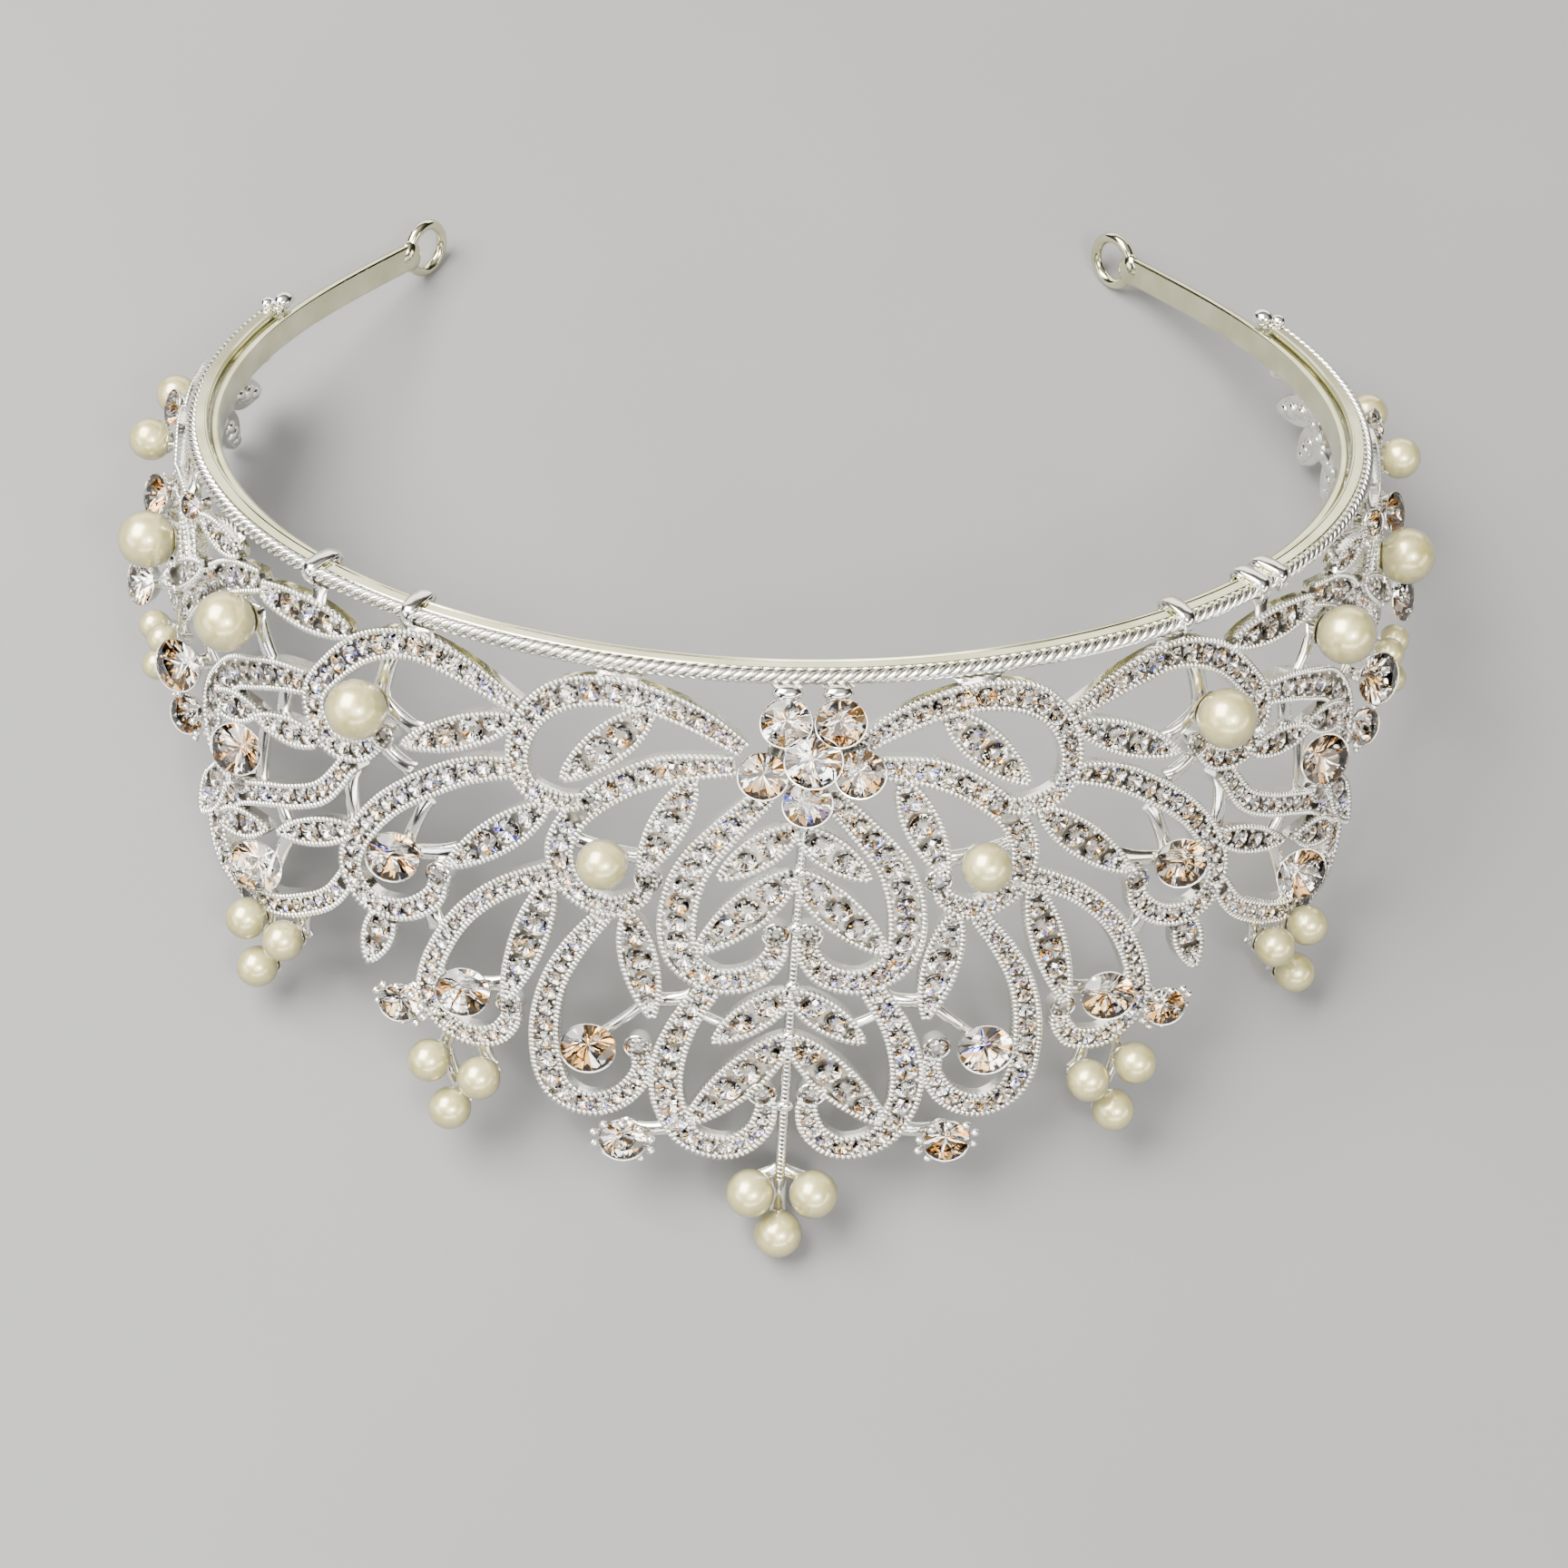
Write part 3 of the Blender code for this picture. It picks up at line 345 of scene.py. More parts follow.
# Round stones in plain cups, of one half: name, along, down, lift of the cup, diameter
CUP_STONES = [
    ("large_stone_1", 21.6, 48.1, 1.75, 6.2),
    ("large_stone_2", 36.1, 44.3, 1.75, 6.2),
    ("large_stone_3", 45.5, 28.8, 1.75, 6.2),
]
CAST_STONES = [
    (70.0, 25.8, 1.5, 6.6), (65.2, 40.0, 1.6, 6.6), (82.0, 20.9, 2.9, 6.6), (101.4, 22.0, 3.6, 6.4),
    (112.5, 2.6, 2.2, 5.0), (101.6, 8.9, 2.5, 5.6), (86.2, 1.0, 0.9, 3.4),
]
CAST_CLAW_STONE = (83.2, 29.2, 0.6, 5.2)
CLAW_STONES = [
    ("claw_stone_1", 17.4, 60.6, 1.75, 5.4),
    ("claw_stone_2", 43.6, 48.7, 1.75, 5.0),
]
FLOWER = [
    (1.4, 6.6, 3.2, 6.4), (-1.6, 2.4, 2.0, 5.8), (4.3, 2.4, 2.0, 5.8), (-3.9, 9.2, 2.0, 5.6),
    (6.6, 8.9, 2.0, 5.8), (1.0, 12.6, 2.0, 5.6),
]

# The camera, in the frame of the tiara held level: place in millimetres and its three axes
CAMERA_SPOT = (-16.28, -317.53, 170.98)
CAMERA_RIGHT = (0.9988, -0.0330, 0.0360)
CAMERA_DOWN = (0.0089, -0.6014, -0.7989)
CAMERA_AHEAD = (0.0481, 0.7982, -0.6004)
CAMERA_LENS = 61.65

# The lights: name, place in metres, width and height, watts, colour
LIGHTS = [
    ("overhead_panel", (-0.46, 0.14, 0.80), (0.76, 0.62), 38.0, "FFFDF8"),
    ("front_high_panel", (0.20, -0.62, 0.95), (0.90, 0.50), 10.5, "FFFFFF"),
    ("back_card", (0.0, 1.05, 0.26), (2.0, 0.52), 10.0, "FFFAF0"),
    ("front_card", (0.10, -1.05, 0.34), (1.2, 0.24), 6.5, "FFFFFF"),
    ("left_card", (-0.95, -0.40, 0.42), (0.8, 0.40), 5.2, "F6F9FF"),
    ("right_card", (0.95, -0.50, 0.34), (0.8, 0.28), 4.2, "FFF4E4"),
    ("glint_lamp", (0.24, -0.50, 0.80), (0.10, 0.10), 4.0, "FFFFFF"),
]

# The point that the lights face
LIT_POINT = (0.0, 0.0, 0.02)

# The room's light from below to above, and its strength
ROOM_TONES = [(0.0, "2A2826"), (0.40, "383532"), (0.64, "6C6964"), (0.86, "FFFFFF")]
ROOM_LIGHT = 0.75

chance = np.random.default_rng(11)


def round_angles(count):
    """Evenly spaced angles of one full turn."""
    return 2 * math.pi * np.arange(count) / count


def unit(way):
    """Directions brought to length 1."""
    return way / np.maximum(np.linalg.norm(way, axis=-1, keepdims=True), 1e-9)


def left_of(way):
    """Directions of the plan turned a quarter to the left."""
    return np.stack([-way[..., 1], way[..., 0]], axis=-1)


def run_lengths(line):
    """The length run along a line of points, at each of them."""
    return np.concatenate([[0.0], np.cumsum(np.linalg.norm(np.diff(line, axis=0), axis=1))])


def line_at(line, lengths, where):
    """A line's values at given lengths along it."""
    return np.stack([np.interp(where, lengths, column) for column in line.T], axis=-1)


def plan(theta):
    """Inner top edge of the headband seen from above and its outward direction, at angles round the head."""
    radius = sum(size * np.cos(turns * theta) for turns, size in BAND_WAVES)
    slope = -sum(turns * size * np.sin(turns * theta) for turns, size in BAND_WAVES)
    sine, cosine = np.sin(theta), np.cos(theta)
    across = unit(np.stack([slope * sine + radius * cosine, radius * sine - slope * cosine], axis=-1))
    return np.stack([radius * sine, -radius * cosine], axis=-1), -left_of(across)


def ring_point(theta, offset, height):
    """Points of the headband's cross-section round the head, in millimetres."""
    point, out = plan(theta)
    flat = point + out * np.asarray(offset)[..., None]
    return np.concatenate([flat, np.broadcast_to(height, flat.shape[:-1])[..., None]], axis=-1)


def band_axes(theta):
    """Directions along the headband, outward and up, at an angle round the head."""
    x, y = plan(np.array(theta))[1]
    return np.array([[-y, x, 0.0], [x, y, 0.0], [0.0, 0.0, 1.0]])


ARC_ANGLES = np.radians(np.arange(0.0, 150.0, 0.1))
ARC_LENGTHS = run_lengths(ring_point(ARC_ANGLES, CREST_OFFSET, 0.0))


def angle_at(along):
    """Angle round the head at a length along the crest's root, negative to the left."""
    return np.sign(along) * np.interp(np.abs(along), ARC_LENGTHS, ARC_ANGLES)


def arc_to(degrees):
    """Length along the crest's root to an angle round the head."""
    return float(np.interp(math.radians(degrees), ARC_ANGLES, ARC_LENGTHS))


def on_band(points):
    """From (along, offset, height) to the headband and its rail."""
    along, offset, height = np.asarray(points, float).T
    return ring_point(angle_at(along), offset, height)


def on_crest(points):
    """From the flat layout (along, down, lift) to the leaning wall of the crest."""
    along, down, lift = np.asarray(points, float).T
    lean = math.radians(CREST_LEAN_DEG)
    return ring_point(angle_at(along), CREST_OFFSET + down * math.sin(lean) + lift * math.cos(lean),
                      -CREST_DROP - down * math.cos(lean) + lift * math.sin(lean))


REST_TURN = np.array(Matrix.Rotation(-math.radians(REST_TILT_DEG), 3, "X"))
tip_low, tip_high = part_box("tip_pearl_low")
REST_SHIFT = (np.array(tip_low + tip_high) / 2
              - MM * REST_TURN @ on_crest([TIP_PEARL_SPOT])[0])


def at_rest(points):
    """From the tiara held level, in millimetres, to where it lies in the frame, in metres."""
    return MM * np.asarray(points, float) @ REST_TURN.T + REST_SHIFT


def skin(rows, columns, wraps=False):
    """Faces over rows of points that are closed loops. Where it wraps, the last row joins the first."""
    return [(row * columns + k, row * columns + (k + 1) % columns,
             (row + 1) % rows * columns + (k + 1) % columns, (row + 1) % rows * columns + k)
            for row in range(rows if wraps else rows - 1) for k in range(columns)]


class Shape:
    """Points and faces of many small closed forms that become one piece."""

    def __init__(self):
        self.points, self.faces, self.finishes, self.tones = [], [], [], []
        self.total = 0

    def add(self, points, faces, finishes, tones=None):
        """Adds one form. Where no tones are given, each of its faces gets one by chance."""
        self.points.append(np.asarray(points, float).reshape(-1, 3))
        self.faces.extend([[index + self.total for index in face] for face in faces])
        self.finishes.extend([finishes] * len(faces) if isinstance(finishes, int) else finishes)
        self.tones.extend(chance.random(len(faces)) if tones is None else tones)
        self.total += len(self.points[-1])

    def add_form(self, form, spot, axes=np.eye(3), tones=None):
        """A copy of a form (points, faces, finishes) at a spot, by its three scaled axes."""
        points, faces, finishes = form
        self.add(spot + points @ axes, faces, finishes, tones)

    def add_forms(self, form, spots, axes):
        """A copy of a form at each spot, each by its own axes."""
        for spot, scaled in zip(spots, axes):
            self.add_form(form, spot, scaled)

    def add_rows(self, grid, finishes=None):
        """A closed skin over rows of points, each a closed loop, with a finish for each of its edges."""
        rows, columns = grid.shape[:2]
        ends = [tuple(range(columns)), tuple(range((rows - 1) * columns, rows * columns))]
        self.add(grid, skin(rows, columns) + ends, list(finishes) * (rows - 1) + [0, 0] if finishes else 0)


def band_rows(lines):
    """Rows for add_rows from lines of (along, offset, height) that run with the headband."""
    return np.stack([on_band(np.stack(np.broadcast_arrays(*line), axis=-1)) for line in lines], axis=1)


def lifted(spots, lift):
    """Points of the flat layout at one lift, or each at its own."""
    return np.column_stack([spots, np.broadcast_to(lift, len(spots))])


def flat_rows(centre, side, section):
    """Rows for add_rows: a section of (across, lift) carried along a line of the flat layout."""
    return np.stack([lifted(centre + side * np.reshape(across, (-1, 1)), lift) for across, lift in section],
                    axis=1)


def put_in_scene(name, data):
    """A new object of the scene."""
    thing = bpy.data.objects.new(name, data)
    bpy.context.scene.collection.objects.link(thing)
    return thing


def place_piece(name, mesh, finishes, stands_for):
    """A finished mesh as a piece that rides with the tiara."""
    for finish in finishes:
        mesh.materials.append(finish)
    piece = put_in_scene(name, mesh)
    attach(piece, "root")
    if stands_for:
        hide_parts(*stands_for)


def make_piece(name, shape, bend, finishes, sharp_deg=None, stands_for=()):
    """Turns a shape into a piece that lies at rest, smooth but for edges sharper than an angle."""
    points = np.concatenate(shape.points)
    mesh = bpy.data.meshes.new(name)
    mesh.from_pydata(at_rest(bend(points) if bend else points).tolist(), [], shape.faces)
    work = bmesh.new()
    work.from_mesh(mesh)
    for face, finish in zip(work.faces, shape.finishes):
        face.material_index = finish
    bmesh.ops.recalc_face_normals(work, faces=work.faces)
    work.to_mesh(mesh)
    work.free()
    if sharp_deg is not None:
        mesh.shade_smooth()
        mesh.set_sharp_from_angle(angle=math.radians(sharp_deg))
    # Each facet keeps its tone, which the foil turns into its own silver, a painted reflection or a painted
    # fleck of fire
    if FOIL in finishes:
        tones = mesh.attributes.new("facet_painted_flash_tone", "FLOAT", "FACE")
        tones.data.foreach_set("value", shape.tones)
    place_piece(name, mesh, finishes, stands_for)


def bead_form(fineness):
    """A round bead of radius 1."""
    work = bmesh.new()
    bmesh.ops.create_icosphere(work, subdivisions=fineness, radius=1.0)
    form = (np.array([vert.co for vert in work.verts]),
            [[vert.index for vert in face.verts] for face in work.faces], 0)
    work.free()
    return form


def tooth_form():
    """A low tooth with rounded shoulders, one of the ribs of a milgrain edge, 1 long and wide each way."""
    points = [(x * long, y * wide, height) for long, wide, height in TOOTH_RINGS
              for x, y in ((-1, -1), (1, -1), (1, 1), (-1, 1))]
    return np.array(points), skin(len(TOOTH_RINGS), 4) + [[3, 2, 1, 0], [12, 13, 14, 15]], 0


def brilliant_form(table, crown, middle, depth):
    """A round brilliant of girdle radius 1: clear crown facets over foiled pavilion facets."""
    half_step = math.pi / 8
    star_high = crown * (1 - (middle * math.cos(half_step) - table) / (1 - table))
    rings = [(8, table, crown, 0.0), (8, middle, star_high, half_step), (16, 1.0, 0.0, 0.0),
             (16, 1.0, -GIRDLE_THICK, 0.0),
             (8, 0.22, -GIRDLE_THICK - 0.76 * (depth - GIRDLE_THICK), half_step)]
    points = [(radius * math.cos(a + turn), radius * math.sin(a + turn), height)
              for count, radius, height, turn in rings for a in round_angles(count)]
    star, girdle, under, lower, culet = 8, 16, 32, FIRST_BACK_POINT, 56
    faces = [list(range(8))]
    for k in range(8):
        low, edge, after = star + k, girdle + 2 * k, girdle + (2 * k + 2) % 16
        faces += [[k, (k + 1) % 8, low], [k, star + (k - 1) % 8, edge, low],
                  [low, edge, edge + 1], [low, edge + 1, after]]
    faces += [[girdle + k, girdle + (k + 1) % 16, under + (k + 1) % 16, under + k] for k in range(16)]
    clear = len(faces)
    for k in range(8):
        low, edge, after = lower + k, under + 2 * k, under + (2 * k + 2) % 16
        faces += [[culet, lower + (k - 1) % 8, edge, low], [low, edge, edge + 1], [low, edge + 1, after]]
    return np.array(points + [(0.0, 0.0, -depth)]), faces, [0] * clear + [1] * (len(faces) - clear)


def turned_form(profile, sides):
    """A ring turned from a closed profile of (radius, height) points."""
    points = [(radius * math.cos(a), radius * math.sin(a), height)
              for a in round_angles(sides) for radius, height in profile]
    return np.array(points), skin(sides, len(profile), wraps=True), 0


BEAD = bead_form(1)
TOOTH = tooth_form()
BALL = bead_form(3)
BACK_SEAT = bead_form(2)
SET_STONE = brilliant_form(table=0.50, crown=0.26, middle=0.76, depth=1.02)
PAVE_STONE = brilliant_form(table=0.50, crown=0.32, middle=0.78, depth=0.50)


def smooth_line(nodes, steps):
    """A smooth curve through given points."""
    nodes = np.array(nodes, float)
    ends = np.vstack([nodes[:1], nodes, nodes[-1:]])
    t = np.linspace(0.0, 1.0, steps, endpoint=False)[:, None]
    runs = [0.5 * (2 * b + (c - a) * t + (2 * a - 5 * b + 4 * c - d) * t ** 2
                   + (3 * b - a - 3 * c + d) * t ** 3)
            for a, b, c, d in zip(ends, ends[1:], ends[2:], ends[3:])]
    return np.vstack(runs + [nodes[-1:]])


class Band:
    """A strip of the flat layout: even centre points, half widths and directions."""

    def __init__(self, nodes, round_end=True):
        line = smooth_line(nodes, 12)
        lengths = run_lengths(line[:, :2])
        even = np.linspace(0.0, lengths[-1], max(4, round(lengths[-1] / BAND_STEP)) + 1)
        line = line_at(line, lengths, even)
        self.centre, self.half = line[:, :2], line[:, 2] / 2
        self.round_end = round_end
        self.measure()

    def measure(self):
        """Works out the directions and lengths along the centre."""
        self.way = unit(np.gradient(self.centre, axis=0))
        self.side = left_of(self.way)
        self.lengths = run_lengths(self.centre)

    def cut_to(self, keep):
        """Keeps only the stations from the first to the last wanted one."""
        wanted = np.flatnonzero(keep)
        if len(wanted) < 4:
            return False
        kept = slice(wanted[0], wanted[-1] + 1)
        self.centre, self.half = self.centre[kept], self.half[kept]
        self.measure()
        return True

    def at(self, length):
        """Centre, direction and half width at a length along the band."""
        return (line_at(self.centre, self.lengths, length), unit(line_at(self.way, self.lengths, length)),
                np.interp(length, self.lengths, self.half))

    def stations(self):
        """Centre points, sides and half widths, with the round end added."""
        centre, side, half = self.centre, self.side, self.half
        if self.round_end:
            turns = np.radians(ROUND_END_DEG)
            centre = np.vstack([centre, centre[-1] + half[-1] * np.outer(np.sin(turns), self.way[-1])])
            side = np.vstack([side] + [side[-1:]] * len(turns))
            half = np.append(half, half[-1] * np.cos(turns))
        return centre, side, half

    def edge_line(self, inset):
        """The line that the milgrain follows: up one edge, round the end and back."""
        centre, side, half = self.stations()
        reach = np.maximum(half - inset, 0.02)[:, None]
        return np.vstack([centre + side * reach, (centre - side * reach)[::-1]])

    def holds(self, points, margin):
        """Which points lie inside the band by more than a margin."""
        gaps = np.linalg.norm(points[:, None, :] - self.centre[None], axis=2) - self.half[None]
        return (gaps < -margin).any(axis=1)


def leaf_band(root_along, root_down, tip_along, tip_down, width):
    """A pointed leaf: full a little before its middle."""
    t = np.linspace(0.0, 1.0, 15)
    shares = np.sin(np.pi * (0.05 + 0.92 * t ** 0.88)) ** 0.62
    nodes = np.column_stack([root_along + (tip_along - root_along) * t,
                             root_down + (tip_down - root_down) * t, width * shares])
    return Band(nodes, round_end=False)


def inside_any(points, bands, margin):
    """Which points lie inside any of the bands."""
    found = np.zeros(len(points), bool)
    for band in bands:
        found |= band.holds(points, margin)
    return found


def add_channel(shape, band, low, top, floor):
    """A closed strip with a raised rim along each edge and a sunk floor for its stones."""
    centre, side, half = band.stations()
    rim = np.minimum(RIM_WIDTH, half * RIM_MOST_SHARE)
    soft = np.minimum(RIM_SOFT, half * 0.2)
    top = top - RIM_SUNK
    wall = top - RIM_ROUND
    right = [(half - rim, floor), (half - rim, wall), (half - rim + soft, top), (half - soft, top),
             (half, wall), (half, low + BACK_ROUND), (half - soft * 2, low)]
    left = [(-across, lift) for across, lift in reversed(right[:-1])]
    section = left + right + [(-half + soft * 2, low)]
    # Finish 1, painted a darker grey as shade, covers the rims under the ribs, the inner walls and the
    # channel floor
    shape.add_rows(flat_rows(centre, side, section), [0] + [1] * 9 + [0] * 4)


def pitched(line, pitch):
    """Evenly spaced points along a line, with its direction there."""
    lengths = run_lengths(line)
    even = np.arange(pitch / 2, lengths[-1], pitch)
    spots = line_at(line, lengths, even)
    return spots, unit(line_at(line, lengths, even + 0.05) - spots)


def rib_axes(way, size):
    """Axes of small ribs that lie across a direction, by their half length, width and height."""
    axes = np.zeros((len(way), 3, 3))
    axes[:, 0, :2], axes[:, 1, :2], axes[:, 2, 2] = way * size[0], left_of(way) * size[1], size[2]
    return axes


def add_milgrain(shape, band, top, keep_clear):
    """The row of small ribs along a band's edge."""
    spots, way = pitched(band.edge_line(RIM_WIDTH / 2), GRAIN_PITCH)
    free = ~inside_any(spots, keep_clear, RIB_CLEAR)
    shape.add_forms(TOOTH, lifted(spots[free], top - RIB_SUNK), rib_axes(way[free], RIB_SIZE))


def add_grains(shape, band, length, top, keep_clear):
    """A pair of small grains across a band, one at each side of its channel."""
    middle, way, reach = band.at(length)
    across = left_of(way) * max(reach - RIM_WIDTH - GRAIN_INSET, 0.0)
    spots = np.array([middle + across, middle - across])
    for spot in lifted(spots[~inside_any(spots, keep_clear, 0.0)], top - 0.02):
        shape.add_form(BEAD, spot, np.eye(3) * GRAIN_RADIUS)


def add_pave(stones, grains, band, low, top, keep_clear, ends, gap, most):
    """Round stones in a channel with grains between them, and grains alone where it is narrow.
    Behind each stone its seat shows as a low bump.
    """
    def stone_size(half):
        """The widest stone that the channel takes where it has this half width."""
        return min(most, 2 * (half - RIM_WIDTH) + STONE_OVER_RIM)

    length, stop = ends[0], band.lengths[-1] - ends[1]
    while length < stop:
        middle, _, half = band.at(length + stone_size(band.at(length)[2]) / 2)
        size = stone_size(half)
        if size < STONE_LEAST or length + size > stop:
            if half > RIM_WIDTH + 0.1:
                add_grains(grains, band, length + GRAIN_RADIUS, top - 0.12, keep_clear)
            length += GRAIN_PITCH
            continue
        if not inside_any(middle[None], keep_clear, -size * 0.30)[0]:
            add_stone(stones, (*middle, top - STONE_SUNK), size / 2, chance.uniform(0.0, math.pi / 4),
                      chance.uniform(-STONE_TIP, STONE_TIP, 2), PAVE_STONE)
            grains.add_form(BACK_SEAT, (*middle, low), np.diag([size * 0.44, size * 0.44, BACK_BUMP]))
        length += size + gap
        add_grains(grains, band, length - gap / 2, top, keep_clear)


def stone_axes(radius, turn, tip):
    """Scaled axes of a stone turned about its own axis and tipped a little."""
    across, up = tip
    spin = Matrix.Rotation(turn, 3, "Z")
    lean = Matrix.Rotation(up, 3, "X") @ Matrix.Rotation(across, 3, "Y")
    return np.array((lean @ spin).transposed()) * radius


def add_stone(shape, spot, radius, turn, tip, form, tones=None):
    """A cut stone with its girdle at a spot."""
    shape.add_form(form, spot, stone_axes(radius, turn, tip), tones)


def painted_amber_side(form):
    """Facet tones of a larger stone: painted amber reflections gather on one side, and the rest is clear
    silver or painted grey and smoky reflections.
    """
    points, faces, _ = form
    middles = np.array([points[face].mean(axis=0)[:2] for face in faces])
    lean = np.cos(np.arctan2(middles[:, 1], middles[:, 0]) - chance.uniform(0.0, 2 * math.pi))
    warm = (lean > 0.0) & (chance.random(len(faces)) < PAINTED_AMBER_SHARE)
    return np.where(warm, chance.uniform(*PAINTED_AMBER_TONES, len(faces)), chance.uniform(*OTHER_TONES, len(faces)))


def add_set_stone(shape, spot, radius, tip):
    """A larger stone: its back facets are ground a little unevenly, so that each flashes by itself."""
    points, faces, finishes = SET_STONE
    points = points.copy()
    points[FIRST_BACK_POINT:] += chance.uniform(-BACK_UNEVEN, BACK_UNEVEN, points[FIRST_BACK_POINT:].shape)
    form = (points, faces, finishes)
    add_stone(shape, spot, radius, chance.uniform(0.0, SET_STONE_TURN), tip, form, painted_amber_side(form))


def add_rod(shape, start, stop, width, low, high, arch=0.0):
    """A plain cast bar, rounded, that flares where it joins and may stand prouder in its middle."""
    t = np.linspace(0.0, 1.0, 13)
    reach = width / 2 * (ROD_WAIST + ROD_FLARE * (2 * t - 1) ** 4)
    top = high + arch * np.sin(math.pi * t) ** 0.7
    section = [(reach * math.cos(a), (low + top) / 2 + (top - low) / 2 * math.sin(a))
               for a in round_angles(12)]
    shape.add_rows(flat_rows(np.outer(1 - t, start) + np.outer(t, stop),
                             left_of(unit(np.subtract(stop, start))), section))


def linear(hex_colour):
    """A display colour as linear light."""
    values = [int(hex_colour[i:i + 2], 16) / 255 for i in (0, 2, 4)]
    return (*(v / 12.92 if v <= 0.04045 else ((v + 0.055) / 1.055) ** 2.4 for v in values), 1.0)


def fit_node(tree, node, settings, links):
    """Fits a node: settings name its properties or sockets, links name the sockets it reads."""
    for name, value in (settings or {}).items():
        if isinstance(name, str) and name[0].islower():
            setattr(node, name, value)
        else:
            node.inputs[name].default_value = value
    for name, source in (links or {}).items():
        tree.links.new(source, node.inputs[name])
    return node


def add_node(tree, kind, settings=None, links=None):
    """Adds one node with its settings and links."""
    return fit_node(tree, tree.nodes.new(kind), settings, links)


def set_ramp(node, stops, interpolation="LINEAR"):
    """Fills a colour ramp from (place, colour) pairs."""
    ramp = node.color_ramp
    ramp.interpolation = interpolation
    while len(ramp.elements) > 1:
        ramp.elements.remove(ramp.elements[-1])
    for number, (place, colour) in enumerate(stops):
        element = ramp.elements[0] if number == 0 else ramp.elements.new(place)
        element.position = place
        element.color = linear(colour)


def new_finish(name):
    """An empty material with its shader and object coordinates."""
    finish = bpy.data.materials.new(name)
    finish.use_nodes = True
    tree = finish.node_tree
    return finish, tree, tree.nodes["Principled BSDF"], tree.nodes.new("ShaderNodeTexCoord").outputs["Object"]


def per_mm(size_mm):
    """Texture scale for a pattern whose grain is this many millimetres."""
    return 1.0 / (size_mm * MM)


def grain_relief(tree, place, size_mm, strength, depth_mm):
    """The relief of a fine grain in a surface."""
    grain = add_node(tree, "ShaderNodeTexNoise", {"Scale": per_mm(size_mm), "Detail": 2.0}, {"Vector": place})
    bump = add_node(tree, "ShaderNodeBump", {"Strength": strength, "Distance": depth_mm * MM},
                    {"Height": grain.outputs["Fac"]})
    return bump.outputs["Normal"]


def clouded_finish(name, size_mm, detail, tones, settings, rough=None, grain=None):
    """A finish whose colour drifts in soft clouds. rough is the two ends of a roughness that drifts
    with them, and grain the size, strength and depth of a relief over them.
    """
    finish, tree, shader, place = new_finish(name)
    cloud = add_node(tree, "ShaderNodeTexNoise", {"Scale": per_mm(size_mm), "Detail": detail},
                     {"Vector": place})
    tint = add_node(tree, "ShaderNodeValToRGB", links={"Fac": cloud.outputs["Fac"]})
    set_ramp(tint, tones)
    links = {"Base Color": tint.outputs["Color"]}
    if rough:
        spread = add_node(tree, "ShaderNodeMapRange", {"To Min": rough[0], "To Max": rough[1]},
                          {"Value": cloud.outputs["Fac"]})
        links["Roughness"] = spread.outputs["Result"]
    if grain:
        links["Normal"] = grain_relief(tree, place, *grain)
    fit_node(tree, shader, settings, links)
    return finish


def foil_finish():
    """The silvered back of a stone: each facet is white silver, a grey or amber painted reflection, or a
    fleck of colour painted as fire.
    """
    finish, tree, shader, _ = new_finish("foil_back_painted_flashes")
    tone = add_node(tree, "ShaderNodeAttribute", {"attribute_name": "facet_painted_flash_tone"})
    tint = add_node(tree, "ShaderNodeValToRGB", links={"Fac": tone.outputs["Fac"]})
    set_ramp(tint, FOIL_AND_PAINTED_FLASH_TONES, "CONSTANT")
    fit_node(tree, shader, {"Metallic": 1.0, "Roughness": 0.03}, {"Base Color": tint.outputs["Color"]})
    return finish


def pearl_finish():
    """Nacre-coated bead: cream with a soft deep gloss, faintly clouded, turning toward its rim into a dark
    olive painted shade.
    """
    finish, tree, shader, place = new_finish("cream_nacre")
    cloud = add_node(tree, "ShaderNodeTexNoise", {"Scale": per_mm(2.6), "Detail": 3.0, "Distortion": 0.6},
                     {"Vector": place})
    tint = add_node(tree, "ShaderNodeValToRGB", links={"Fac": cloud.outputs["Fac"]})
    set_ramp(tint, [(0.25, "C6BA78"), (0.5, "D6CC92"), (0.75, "B5AA62")])
    # Toward the rim, as the camera sees it, the cream darkens to an olive: painted shade
    edge = add_node(tree, "ShaderNodeLayerWeight", {"Blend": 0.35})
    # Sockets 6 and 7 are the two colours of the mix, which share their names with its numbers
    painted_rim_shade = add_node(tree, "ShaderNodeMix", {"data_type": "RGBA", 7: linear("5E5828")},
                     {"Factor": edge.outputs["Facing"], 6: tint.outputs["Color"]})
    fit_node(tree, shader,
             {"Metallic": 0.42, "Roughness": 0.34, "Specular IOR Level": 0.9, "Coat Weight": 1.0,
              "Coat Roughness": 0.15, "Coat IOR": 1.75, "Subsurface Weight": 0.12,
              "Subsurface Radius": (1.0, 0.7, 0.4), "Subsurface Scale": 0.6 * MM},
             {"Base Color": painted_rim_shade.outputs[2], "Normal": grain_relief(tree, place, 0.9, 0.08, 0.05)})
    return finish


# Silver plate over a polished casting: bright and a little warm, softer in its hollows
SILVER = clouded_finish("cast_silver_plate", 3.0, 3.0, [(0.30, "F6F5F1"), (0.55, "F1EFE9"), (0.75, "E2DCCB")],
                        {"Metallic": 1.0}, (0.08, 0.22), (0.35, 0.12, 0.05))

# The body of the casting under its polished ribs, on the rims, inner walls and channel floors: unpolished and
# softer, and painted a darker grey as the shade in these hollows
CASTING_PAINTED_SHADE = clouded_finish("casting_body_painted_shade", 1.2, 3.0,
                        [(0.30, "B4B0A6"), (0.55, "C4C0B6"), (0.75, "A8A08E")],
                        {"Metallic": 1.0}, (0.22, 0.42), (0.3, 0.25, 0.06))

